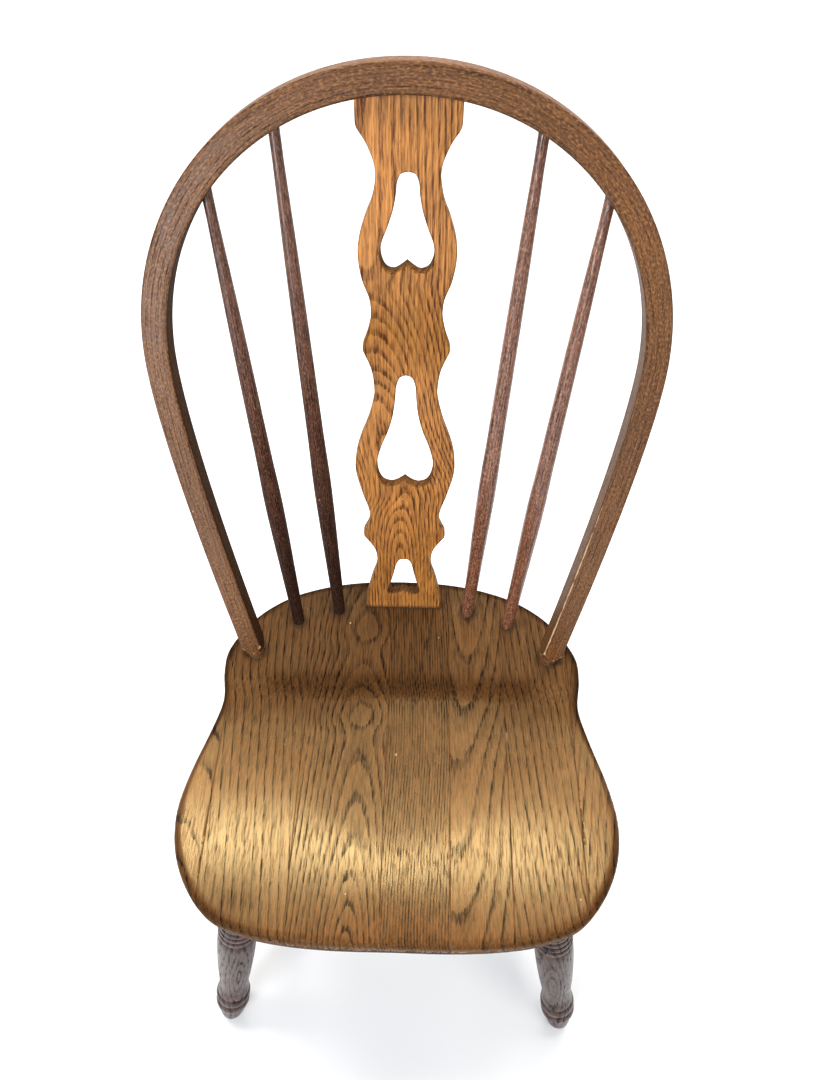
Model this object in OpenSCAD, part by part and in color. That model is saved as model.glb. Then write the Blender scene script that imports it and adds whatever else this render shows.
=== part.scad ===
// Bow-back side chair: a seat glued up from seven boards, a bent bow, four
// spindles, a fretted splat, four turned legs and an H of turned stretchers.
// The chair faces -Y and stands on z = 0; left and right are as seen from the front.
// Points are worked out with y = 0 at the seat's front edge, and every piece is
// then moved back by mid_y, which puts the middle of the chair on the origin.

/* [Seat] */
// Width across the widest point of the seat
seat_w = 482; // [402:1:580]
// Depth from the front edge to the back edge
seat_d = 437; // [365:1:525]
// Thickness of the boards
seat_t = 38; // [32:1:46]
// Height of the top face above the floor
seat_h = 450; // [375:1:540]
// Depth of the bowl carved for the sitter, under the saddle's crest
dish_depth = 7; // [4:0.5:9]
// Distance from the front edge to the saddle's crest, at the middle
crest_y = 92; // [76:1:111]
// How much further back the crest lies under the thighs
crest_sweep = 56; // [46:1:68]
// How far the face rolls down from the crest to the front edge
front_roll = 7; // [4:0.5:9]
// Depth of the flat shelf behind the hollow
shelf_d = 140; // [118:1:168]
// Inset of the rounded top edge
top_round = 8; // [4:1:10]
// Inset of the rounded lower edge
under_round = 14; // [8:1:18]

/* [Bow] */
// Width across the widest part of the bow
bow_w = 480; // [420:1:576]
// Length from the seat to the top, along the slope
bow_h = 636; // [530:1:767]
// Length from the seat to the widest part, along the slope
bow_wide_h = 383; // [320:1:460]
// Width of the bar, seen from the front
bow_face = 23; // [19:0.5:28]
// Thickness of the bar from front to back
bow_depth = 24; // [20:0.5:29]
// Angle that the bow leans back from upright
bow_lean = 15; // [12:0.5:18]
// Distance from the seat's back edge to the middle of the bow's feet
bow_setback = 109; // [90:1:130]
// Distance from the seat's widest side to the middle of a foot
bow_inset = 62; // [52:0.5:74]
// Diameter of the round tenon at each foot
bow_tenon_d = 22; // [18:0.5:24]
// Length of that tenon in the seat
bow_tenon_l = 26; // [18:1:30]

/* [Spindles] */
// Distance from the middle to an inner spindle at the seat
spindle_x = 81; // [68:1:97]
// Spacing from the inner to the outer spindle at the seat
spindle_pitch = 50; // [42:1:60]
// Distance from the seat's back edge to the spindles
spindle_setback = 41; // [34:1:49]
// Diameter at the foot and in the seat
spindle_foot_d = 14; // [12:0.5:16.5]
// Largest diameter
spindle_max_d = 19.5; // [16.5:0.5:23]
// Diameter at the top and in the bow
spindle_top_d = 9.5; // [8:0.5:11.5]
// Length of the foot in the seat
spindle_tenon_l = 22; // [16:1:26]

/* [Splat] */
// Width across the widest part
splat_w = 106; // [90:1:127]
// Thickness
splat_t = 12; // [10:0.5:14.5]
// Distance from the seat's back edge to the middle of the splat
splat_setback = 36; // [30:1:43]
// Length of the foot in the seat
splat_tenon_l = 14; // [10:1:20]
// Length of the head in the bow
splat_head_l = 8; // [6:0.5:9]

/* [Legs] */
// Distance between the middles of the front feet
front_span = 465; // [400:1:558]
// Distance of the front feet in front of the seat's front edge
front_reach = 7; // [0:1:25]
// Inset of the front sockets from the seat's widest side
front_inset = 74; // [62:1:88]
// Distance from the seat's front edge to the front sockets
front_socket_y = 76; // [63:1:90]
// Distance between the middles of the back feet
back_span = 390; // [330:1:468]
// Distance of the back feet behind the seat's back edge
back_reach = 20; // [0:1:40]
// Inset of the back sockets from the seat's widest side
back_inset = 90; // [76:1:108]
// Distance from the seat's back edge to the back sockets
back_socket_y = 88; // [74:1:104]
// Diameter of a foot at the floor
foot_d = 26; // [22:0.5:31]
// Diameter of the two beads above the foot
bead_d = 45; // [40:0.5:50]
// Diameter of the neck
neck_d = 38; // [33:0.5:42]
// Diameter of the vase and its rings
vase_d = 47; // [42:0.5:54]
// Diameter of the leg's top and of its tenon
leg_top_d = 28; // [24:0.5:32]
// Length of the tenon in the seat
leg_tenon_l = 22; // [16:1:25]

/* [Stretchers] */
// Height of the stretchers above the floor
stretcher_h = 170; // [142:1:204]
// Largest diameter of a side stretcher
side_d = 26; // [22:0.5:31]
// Diameter of a side stretcher's ends
side_end_d = 15; // [13:0.5:18]
// Largest diameter of the cross stretcher
cross_d = 25; // [21:0.5:30]
// Diameter of the cross stretcher's ends
cross_end_d = 12; // [10:0.5:14]

/* [Hidden] */
// Clearance round every tenon
fit = 0.1;
$fn = 48;

oak = "#8a5f31";
dark_oak = "#5b3420";
amber_oak = "#a9682c";

// ---- curves ----

// Point at t, from 0 to 1, between b and c on a smooth curve through a, b, c and d
function curve_point(a, b, c, d, t) =
    0.5 * (2 * b + (c - a) * t + (2 * a - 5 * b + 4 * c - d) * t * t
        + (3 * b - a - 3 * c + d) * t * t * t);

// Smooth open curve through every point of p, with n steps to a stretch
function curve(p, n = 4) = concat(
    [for (i = [0 : len(p) - 2], k = [0 : n - 1])
        curve_point(p[max(i - 1, 0)], p[i], p[i + 1], p[min(i + 2, len(p) - 1)], k / n)],
    [p[len(p) - 1]]);

// Smooth step from 0 to 1 as x goes from 0 to 1
function ease(x) = let (c = max(0, min(1, x))) c * c * (3 - 2 * c);

function mirrored(p) = [for (q = p) [-q.x, q.y]];
function reversed(p) = [for (i = [len(p) - 1 : -1 : 0]) p[i]];
function scaled(p, sx, sy) = [for (q = p) [q.x * sx, q.y * sy]];

// Closed outline from its right half, which starts and ends on the middle line
function both_halves(p) =
    concat(p, mirrored([for (i = [len(p) - 2 : -1 : 1]) p[i]]));

// ---- seat ----

// Right half of the seat's outline, for a seat 479 wide and 437 deep
seat_half = scaled(curve([
    [0, 0], [60, 0], [110, 3], [152, 10], [190, 25], [217, 54], [234, 90], [239.5, 130],
    [233, 172], [218, 224], [209.7, 264], [214, 300], [213, 328], [199, 357], [176, 386],
    [140, 411], [95, 427], [48, 435], [0, 437]], 2), seat_w / 479, seat_d / 437);
seat_edge = both_halves(seat_half);
seat_mid = [0, seat_d / 2];

// The outline moved in by about d, towards the middle of the seat
function seat_ring(d) = [for (p = seat_edge) seat_mid + (p - seat_mid) * (1 - 2 * d / seat_d)];

cove_y = seat_d - shelf_d;

// The blank is made this much too thick at the shelf and at the bottom, and then
// planed flat, so that the shelf and the underside are true planes
planing = 2;
// The saddle's crest lies this far under the shelf
crest_drop = 0.5;
// Length of the cove that climbs from the bowl to the shelf
cove_l = 34;

function crest(x) = crest_y + crest_sweep * ease(abs(x) / (seat_w / 2) * 1.6);

// Share of the shelf at a point: 0 in front of the top of the cove, 1 behind it
function shelf(p) = ease((p.y - cove_y + 12) / 22);

// How far the rim lies under the shelf: the crest's drop, and the roll in front of it
function rim_drop(p) = (1 - shelf(p))
    * (crest_drop + front_roll * pow(max(0, 1 - p.y / crest(p.x)), 2));

// Share of the full depth of the bowl: from the crest back to the cove, fading to the sides
function bowl(p) =
    let (side = abs(p.x) / (seat_w / 2), crest = crest(p.x))
    ease((cove_y - p.y) / cove_l) * ease((p.y - crest) / (cove_y - cove_l - crest)) * ease((0.98 - side) * 3.5);
function carved(p) = planing * shelf(p) - rim_drop(p) - dish_depth * bowl(p);

// Rings of the blank's skin, [inset, height, share of planing], from the underside out
// and up to the rounded top edge; the first and the last run on past the planed faces
round_steps = 4;
run_on = planing / tan(45 / round_steps);
under_rings = concat(
    [[under_round + run_on, -seat_t - planing]],
    [for (k = [1 : round_steps]) let (a = 90 * k / round_steps)
        [under_round * (1 - sin(a)), -seat_t + under_round * (1 - cos(a))]]);
top_rings = concat(
    [for (k = [0 : round_steps - 1]) let (a = 90 * k / round_steps)
        [top_round * (1 - cos(a)), top_round * (sin(a) - 1), 0]],
    [[top_round + run_on, 0, planing]]);
top_steps = 16;
top_inset = top_round + run_on;
seat_rings = concat(
    [for (e = under_rings) [for (p = seat_ring(e[0])) [p.x, p.y, e[1]]]],
    [for (e = top_rings) [for (p = seat_ring(e[0])) [p.x, p.y, e[1] - rim_drop(p) + e[2] * shelf(p)]]],
    [for (k = [1 : top_steps]) let (d = top_inset + (seat_d / 2 - top_inset) * k / (top_steps + 1))
        [for (p = seat_ring(d)) [p.x, p.y, carved(p)]]]);

module seat_blank() {
    n = len(seat_edge);
    m = len(seat_rings);
    middle = [seat_mid.x, seat_mid.y, carved(seat_mid)];
    polyhedron(
        points = concat([for (r = seat_rings, p = r) p], [middle]),
        faces = concat(
            [[for (i = [0 : n - 1]) i]],
            [for (j = [0 : m - 2], i = [0 : n - 1], half = [0, 1])
                let (a = j * n + i, b = j * n + (i + 1) % n)
                half == 0 ? [a, a + n, b] : [b, a + n, b + n]],
            [for (i = [0 : n - 1]) [(m - 1) * n + i, m * n, (m - 1) * n + (i + 1) % n]]));
}

// Where the boards meet, as shares of half the seat's width
joint_shares = [-1.1, -0.85, -0.46, -0.06, 0.24, 0.51, 0.83, 1.1];

// y of the seat's back edge at a distance x from the middle
function back_edge(x) =
    lookup(x, [for (p = reversed(seat_half)) if (p.y > seat_d * 0.8) [p.x, p.y]]);

// ---- bow ----

bow_y = seat_d - bow_setback;
bow_foot_x = seat_w / 2 - bow_inset;
bow_half_w = (bow_w - bow_face) / 2;
bow_arch_h = bow_h - bow_face / 2 - bow_wide_h;
// Roundness of the arch: 2 is an ellipse, and more is squarer
bow_squareness = 2.06;
// Height of the kink of each leg's curve, as a share of the height of the widest part
bow_kink = 0.75;
// The square bar ends this far above the seat, and the round tenon goes on
bow_shoulder = 7;

// The bow's middle line in its own leaning plane, [across, up the slope]
function bow_leg(t) = [bow_half_w - (bow_half_w - bow_foot_x) * (1 - t) * (1 - t),
    bow_wide_h * (2 * bow_kink * t * (1 - t) + t * t)];
function bow_arch(a) = [bow_half_w * pow(cos(a), 2 / bow_squareness),
    bow_wide_h + bow_arch_h * pow(sin(a), 2 / bow_squareness)];

leg_steps = 10;
arch_steps = 18;
bow_half = concat(
    [for (k = [0 : leg_steps - 1]) bow_leg(k / leg_steps)],
    [for (k = [0 : arch_steps]) bow_arch(90 * k / arch_steps)]);
bow_line = concat(bow_half, reversed(mirrored([for (i = [0 : len(bow_half) - 2]) bow_half[i]])));

// Left-hand normal of a path at point i
function path_normal(p, i) =
    let (d = p[min(i + 1, len(p) - 1)] - p[max(i - 1, 0)]) [-d.y, d.x] / norm(d);
function beside(p, d) = [for (i = [0 : len(p) - 1]) p[i] + path_normal(p, i) * d];

// Slope of the foot, as a unit vector in the bow's plane
bow_foot_way = (bow_line[1] - bow_line[0]) / norm(bow_line[1] - bow_line[0]);

// A point of the bow's plane in the chair's axes
function on_bow(p) = [p.x, bow_y + p.y * sin(bow_lean), seat_h + p.y * cos(bow_lean)];

// ---- spindles ----

// Where the spindles end on the bow's arch, inner then outer
spindle_arch_a = [63, 44];
spindle_at = [
    for (k = [0, 1]) let (x = spindle_x + k * spindle_pitch)
        [[x, back_edge(x) - spindle_setback, seat_h], on_bow(bow_arch(spindle_arch_a[k]))]];

// ---- splat ----

splat_y = seat_d - splat_setback;
splat_top = on_bow([0, bow_h - bow_face]);
splat_l = norm(splat_top - [0, splat_y, seat_h]);
splat_lean = atan2(splat_top.y - splat_y, splat_top.z - seat_h);

// Right side of the splat for one 106 wide and 600 long; it breaks at the two ears
splat_half = concat(
    curve([[48, 0], [44, 28], [38.5, 54], [33.5, 72], [32, 88], [35, 106], [47, 127]]),
    curve([[47, 133], [40, 150], [40, 168], [46, 191], [52.5, 222], [52.5, 244], [47, 268],
        [38, 294], [32, 320], [31.5, 338], [34, 356], [41.5, 376]]),
    curve([[41.5, 380], [36, 396], [33, 413], [34, 430], [40, 448], [43, 468], [42, 485],
        [36, 505], [30, 520], [27, 537], [28, 550], [34, 565], [41, 576], [42, 584]]),
    [[42, 600]]);

// Right halves of the three cut-outs, from the lobed foot up to the rounded head
splat_holes = [
    curve([[0, 30], [5, 28], [12, 25], [18, 26], [19.5, 33], [16, 46], [12, 64], [9, 79], [5, 87], [0, 88]]),
    curve([[0, 214], [7, 208], [15, 205], [24, 209], [29, 222], [29.5, 240], [25, 260], [18, 280],
        [13, 300], [10.5, 320], [9.5, 335], [6, 346], [0, 349]]),
    curve([[0, 464], [6, 459], [12, 456], [19, 459], [23, 469], [22.5, 482], [17, 497], [12.5, 511],
        [10, 524], [9, 534], [6, 541], [0, 543]])];

// ---- legs and stretchers ----

front_foot = [front_span / 2, -front_reach, 0];
front_top = [seat_w / 2 - front_inset, front_socket_y, seat_h - seat_t];
back_foot = [back_span / 2, seat_d + back_reach, 0];
back_top = [seat_w / 2 - back_inset, seat_d - back_socket_y, seat_h - seat_t];

// The point of the line from p to q at height h
function at_height(p, q, h) = p + (q - p) * h / q.z;

side_front = at_height(front_foot, front_top, stretcher_h);
side_back = at_height(back_foot, back_top, stretcher_h);
cross_end = (side_front + side_back) / 2;
// Where a side stretcher starts, measured from the axis of the leg
side_in = 7;
// Where the cross stretcher starts, measured from the axis of the side stretcher
cross_in = 4;

// Half-round bead from height a to b on a core of radius r, standing out by h
function bead(a, b, r, h) = [for (k = [0 : 6]) [r + h * sin(30 * k), a + (b - a) * (1 - cos(30 * k)) / 2]];

// Heights of the turning above the floor
foot_h = 45;
bead_h = 22;
neck_z = 120;
vase_z = 225;
ring_z = 278;
rings = 4;
ring_h = 11.5;
groove = 2;

// Profile of a leg of length l from the floor to the seat, with its tenon
function leg_profile(l) =
    let (
        core = bead_d / 2 - 3.5,
        bead_top = foot_h + 2 * bead_h,
        ring_top = ring_z + rings * ring_h,
        rest = l - ring_top)
    concat(
        [[0, -12], [foot_d / 2 - 1, -12]],
        curve([[foot_d / 2 - 1, 0], [foot_d / 2 + 1.5, 6], [foot_d / 2 + 4, foot_h * 0.45], [core, foot_h - 3]]),
        bead(foot_h, foot_h + bead_h, core, 3.5),
        bead(foot_h + bead_h, bead_top, core, 3.5),
        curve([[bead_d / 2 - 2, bead_top + 2], [neck_d / 2 + 1, bead_top + 12], [neck_d / 2, neck_z],
            [(neck_d + vase_d) / 4 + 0.5, (neck_z + vase_z) / 2], [vase_d / 2, vase_z], [vase_d / 2, ring_z - 14],
            [vase_d / 2 - groove, ring_z]]),
        [for (k = [0 : rings - 1]) each bead(ring_z + k * ring_h, ring_z + (k + 1) * ring_h,
            vase_d / 2 - groove - k * 0.4, groove)],
        curve([[vase_d / 2 - 4, ring_top + 1], [neck_d / 2 - 2, ring_top + rest * 0.25],
            [neck_d / 2 - 1, ring_top + rest * 0.45], [leg_top_d / 2 + 1, ring_top + rest * 0.75],
            [leg_top_d / 2, l - 12]]),
        [[leg_top_d / 2, l + leg_tenon_l], [0, l + leg_tenon_l]]);

// Profile of a turned stretcher of length l: straight ends, and a swell with two rings
function stretcher_profile(l, d, end_d, straight) =
    let (m = l / 2)
    concat(
        [[0, 0], [end_d / 2, 0]],
        curve([[end_d / 2, straight], [d / 2 - 3, m * 0.72], [d / 2 - 2, m - 22]]),
        bead(m - 20, m - 12, d / 2 - 2, 2),
        [[d / 2 - 0.5, m - 11], [d / 2 - 0.5, m + 11]],
        bead(m + 12, m + 20, d / 2 - 2, 2),
        curve([[d / 2 - 2, m + 22], [d / 2 - 3, l - m * 0.72], [end_d / 2, l - straight]]),
        [[end_d / 2, l], [0, l]]);

mid_y = (-front_reach - foot_d / 2 + on_bow([0, bow_h]).y + bow_depth / 2 * cos(bow_lean)) / 2;

// ---- placing ----

// The children's +Z axis runs from p towards q
module between(p, q) {
    d = q - p;
    translate(p) rotate([0, acos(d.z / norm(d)), atan2(d.y, d.x)]) children();
}

module on_side(side) {
    if (side < 0) mirror([1, 0, 0]) children();
    else children();
}

module whole() {
    translate([0, -mid_y, 0]) children();
}

// The plane that leans back by lean over the seat at y, with the children's
// x across, y up the slope and z towards the front
module leaning(y, lean) {
    translate([0, y, seat_h]) rotate([90 - lean, 0, 0]) children();
}

// ---- sockets ----

// A round socket along the line from p towards q, from low to high measured from p;
// it is turned a quarter, so that its seam lies across the slope
module socket(p, q, d, low, high) {
    between(p, q) rotate(90) translate([0, 0, low]) cylinder(d = d + 2 * fit, h = high - low);
}

module bow_sockets() {
    for (side = [-1, 1]) on_side(side)
        socket(on_bow([bow_foot_x, 0]), on_bow([bow_foot_x, 0] + bow_foot_way * 10),
            bow_tenon_d, -bow_tenon_l - fit, 20);
}

module spindle_seat_sockets() {
    for (side = [-1, 1], s = spindle_at) on_side(side)
        socket(s[0], s[1], spindle_foot_d, -spindle_tenon_l - fit, 20);
}

module splat_seat_mortise() {
    w = splat_w / 106 * 96 + 2 * fit;
    t = splat_t + 2 * fit;
    leaning(splat_y, splat_lean) translate([-w / 2, -splat_tenon_l - fit, -t / 2])
        cube([w, splat_tenon_l + 20, t]);
}

module leg_sockets() {
    for (side = [-1, 1], ends = [[front_foot, front_top], [back_foot, back_top]]) on_side(side)
        socket(ends[1], ends[1] * 2 - ends[0], leg_top_d, -30, leg_tenon_l + fit);
}

// ---- pieces ----

// One board of the seat, between joints k and k + 1
module seat_board(k) {
    a = joint_shares[k] * seat_w / 2;
    b = joint_shares[k + 1] * seat_w / 2;
    color(oak) whole() intersection() {
        difference() {
            translate([a, -20, seat_h - seat_t]) cube([b - a, seat_d + 40, seat_t]);
            bow_sockets();
            spindle_seat_sockets();
            splat_seat_mortise();
            leg_sockets();
        }
        translate([0, 0, seat_h]) seat_blank();
    }
}

module bow() {
    color(dark_oak) whole() difference() {
        union() {
            leaning(bow_y, bow_lean) translate([0, 0, -bow_depth / 2]) linear_extrude(bow_depth)
                difference() {
                    polygon(concat(beside(bow_line, bow_face / 2), reversed(beside(bow_line, -bow_face / 2))));
                    for (side = [-1, 1]) on_side(side)
                        translate([bow_foot_x, 0] + bow_foot_way * bow_shoulder)
                            rotate(-atan2(bow_foot_way.x, bow_foot_way.y))
                                translate([-bow_face, -40]) square([2 * bow_face, 40]);
                }
            for (side = [-1, 1]) on_side(side)
                between(on_bow([bow_foot_x, 0]), on_bow([bow_foot_x, 0] + bow_foot_way * 10))
                    translate([0, 0, -bow_tenon_l])
                        cylinder(d = bow_tenon_d, h = bow_tenon_l + bow_shoulder + 5);
        }
        for (side = [-1, 1], s = spindle_at) on_side(side) between(s[1], s[0])
            translate([0, 0, -fit]) cylinder(d = spindle_top_d + 2 * fit, h = bow_face * 1.6);
        leaning(splat_y, splat_lean)
            translate([-splat_w / 106 * 42 - fit, splat_l - 20, -splat_t / 2 - fit])
                cube([splat_w / 106 * 84 + 2 * fit, 20 + splat_head_l + fit, splat_t + 2 * fit]);
    }
}

// A spindle from the seat to the bow, swelling at a third of its height
module spindle(k, side) {
    p = spindle_at[k][0];
    q = spindle_at[k][1];
    l = norm(q - p);
    straight = bow_face * 1.6;
    color(dark_oak) whole() on_side(side) between(p, q) rotate_extrude()
        polygon(concat(
            [[0, -spindle_tenon_l], [spindle_foot_d / 2, -spindle_tenon_l]],
            curve([[spindle_foot_d / 2, 6], [spindle_foot_d / 2 + 1.2, l * 0.13], [spindle_max_d / 2, l * 0.34],
                [spindle_max_d / 2 - 1.3, l * 0.48], [(spindle_max_d + spindle_top_d) / 4 - 0.4, l * 0.74],
                [spindle_top_d / 2, l - straight]]),
            [[spindle_top_d / 2, l], [0, l]]));
}

module splat() {
    sx = splat_w / 106;
    sy = splat_l / 600;
    outline = concat(
        [[48 * sx, -splat_tenon_l]], scaled(splat_half, sx, sy), [[42 * sx, splat_l + splat_head_l]]);
    color(amber_oak) whole() leaning(splat_y, splat_lean)
        translate([0, 0, -splat_t / 2]) linear_extrude(splat_t) difference() {
            polygon(concat(outline, reversed(mirrored(outline))));
            for (h = splat_holes) polygon(both_halves(scaled(h, sx, sy)));
        }
}

module leg(foot, top, side) {
    color(dark_oak) whole() on_side(side) difference() {
        between(foot, top) rotate_extrude() polygon(leg_profile(norm(top - foot)));
        translate(foot - [foot_d, foot_d, 40]) cube([2 * foot_d, 2 * foot_d, 40]);
        side_stretcher_bores();
    }
}

// The two bores that hold the right side stretcher
module side_stretcher_bores() {
    for (ends = [[side_front, side_back], [side_back, side_front]]) between(ends[0], ends[1])
        translate([0, 0, side_in - fit]) cylinder(d = side_end_d + 2 * fit, h = vase_d);
}

module side_stretcher(side) {
    l = norm(side_back - side_front) - 2 * side_in;
    color(dark_oak) whole() on_side(side) difference() {
        between(side_front, side_back) translate([0, 0, side_in])
            rotate_extrude() polygon(stretcher_profile(l, side_d, side_end_d, vase_d * 0.7));
        translate(cross_end) rotate([0, -90, 0])
            translate([0, 0, cross_in - fit]) cylinder(d = cross_end_d + 2 * fit, h = side_d);
    }
}

module cross_stretcher() {
    l = 2 * (cross_end.x - cross_in);
    color(dark_oak) whole() translate([cross_in - cross_end.x, cross_end.y, cross_end.z]) rotate([0, 90, 0])
        rotate_extrude() polygon(stretcher_profile(l, cross_d, cross_end_d, side_d * 0.7));
}

seat_board(0);  // seat_board_1
seat_board(1);  // seat_board_2
seat_board(2);  // seat_board_3
seat_board(3);  // seat_board_4
seat_board(4);  // seat_board_5
seat_board(5);  // seat_board_6
seat_board(6);  // seat_board_7
bow();
splat();
spindle(1, -1);  // spindle_left_outer
spindle(0, -1);  // spindle_left_inner
spindle(0, 1);  // spindle_right_inner
spindle(1, 1);  // spindle_right_outer
leg(front_foot, front_top, -1);  // leg_front_left
leg(front_foot, front_top, 1);  // leg_front_right
leg(back_foot, back_top, -1);  // leg_back_left
leg(back_foot, back_top, 1);  // leg_back_right
side_stretcher(-1);  // stretcher_left
side_stretcher(1);  // stretcher_right
cross_stretcher();  // stretcher_cross
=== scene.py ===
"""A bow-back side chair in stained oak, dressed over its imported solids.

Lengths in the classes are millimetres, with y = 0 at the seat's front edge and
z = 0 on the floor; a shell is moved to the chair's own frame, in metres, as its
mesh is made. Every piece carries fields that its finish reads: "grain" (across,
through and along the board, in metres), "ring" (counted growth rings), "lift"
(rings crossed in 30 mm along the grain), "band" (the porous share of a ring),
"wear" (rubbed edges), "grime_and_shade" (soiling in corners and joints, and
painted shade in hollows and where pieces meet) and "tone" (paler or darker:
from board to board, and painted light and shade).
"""

import logging
import math
from dataclasses import dataclass, field
from enum import Enum

import bmesh
import bpy
import numpy as np
from mathutils import Matrix, Quaternion, Vector


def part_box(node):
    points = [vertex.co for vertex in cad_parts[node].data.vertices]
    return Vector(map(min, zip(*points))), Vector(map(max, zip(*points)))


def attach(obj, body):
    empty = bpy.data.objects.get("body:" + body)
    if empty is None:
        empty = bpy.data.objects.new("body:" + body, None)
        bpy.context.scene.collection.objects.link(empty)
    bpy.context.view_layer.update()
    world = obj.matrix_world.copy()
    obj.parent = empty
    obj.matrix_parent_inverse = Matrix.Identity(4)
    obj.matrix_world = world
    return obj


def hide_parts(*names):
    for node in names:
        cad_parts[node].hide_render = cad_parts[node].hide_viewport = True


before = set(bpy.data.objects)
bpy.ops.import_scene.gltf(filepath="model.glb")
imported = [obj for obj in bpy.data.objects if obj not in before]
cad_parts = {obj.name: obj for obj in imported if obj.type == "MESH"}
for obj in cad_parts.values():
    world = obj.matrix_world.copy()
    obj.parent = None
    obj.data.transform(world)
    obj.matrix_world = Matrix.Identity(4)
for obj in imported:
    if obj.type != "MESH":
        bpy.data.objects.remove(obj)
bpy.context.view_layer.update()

Array = np.ndarray
Triple = tuple[float, float, float]
Knots = tuple[tuple[float, float], ...]

MM = 0.001
SEAT_W = 482.0
SEAT_D = 437.0
SEAT_T = 38.0
SEAT_H = 450.0
SIDES = ((-1, "left"), (1, "right"))
# y of the seat's front edge in the chair's frame, from the board that reaches its back edge
FRONT_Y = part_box("seat_board_4")[1].y / MM - SEAT_D

log = logging.getLogger("chair")


# ---- curves and small sums ----

def ease(x: Array) -> Array:
    """Smooth step: 0 below 0, 1 above 1, and 3x^2 - 2x^3 between."""
    c = np.clip(x, 0.0, 1.0)
    return c * c * (3 - 2 * c)


def curve(points: list[tuple[float, float]], steps: int = 8) -> Array:
    """Smooth open curve through every point.

    Each stretch is a cubic whose slope at a point is half the way from the
    point before to the point after.

    Args:
        points: the points to pass through.
        steps: samples in each stretch.

    Returns:
        An array of samples, one row each, ending on the last point.
    """
    p = np.asarray(points, float)
    q = np.vstack([p[:1], p, p[-1:]])
    a, b, c, d = (q[k:len(q) - 3 + k, None, :] for k in range(4))
    t = (np.arange(steps) / steps)[None, :, None]
    body = 0.5 * (2 * b + (c - a) * t + (2 * a - 5 * b + 4 * c - d) * t**2
                  + (3 * b - a - 3 * c + d) * t**3)
    return np.vstack([body.reshape(-1, p.shape[1]), p[-1:]])


def through(knots: Knots, at: Array) -> Array:
    """Smooth function through (place, value) knots, read at the places given."""
    line = curve(list(knots), 10)
    return np.interp(at, line[:, 0], line[:, 1])


def hill(x: Array, at: Array | float, width: float) -> Array:
    """Bell: 1 at a place, falling as exp(-(distance / width)^2)."""
    return np.exp(-((x - at) / width)**2)


def fade(gap: Array, reach: float) -> Array:
    """1 up to an edge, falling as exp(-gap / reach) beyond it."""
    return np.exp(-np.maximum(gap, 0) / reach)


def joined(*parts: Array | float) -> Array:
    """The arrays side by side in a new last axis, each stretched to the shape of all."""
    return np.stack(np.broadcast_arrays(*parts), axis=-1)


def unit(v: Array) -> Array:
    """The vectors in the last axis, made one long."""
    return v / np.maximum(np.linalg.norm(v, axis=-1, keepdims=True), 1e-12)


def run(path: Array) -> Array:
    """Length along a path up to each of its points."""
    return np.concatenate([[0.0], np.cumsum(np.linalg.norm(np.diff(path, axis=0), axis=1))])


def side_normals(path: Array) -> Array:
    """Left-hand normals of a flat path, from the points before and after each one."""
    d = unit(np.gradient(path, axis=0))
    return joined(-d[:, 1], d[:, 0])


# ---- shells ----

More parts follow.
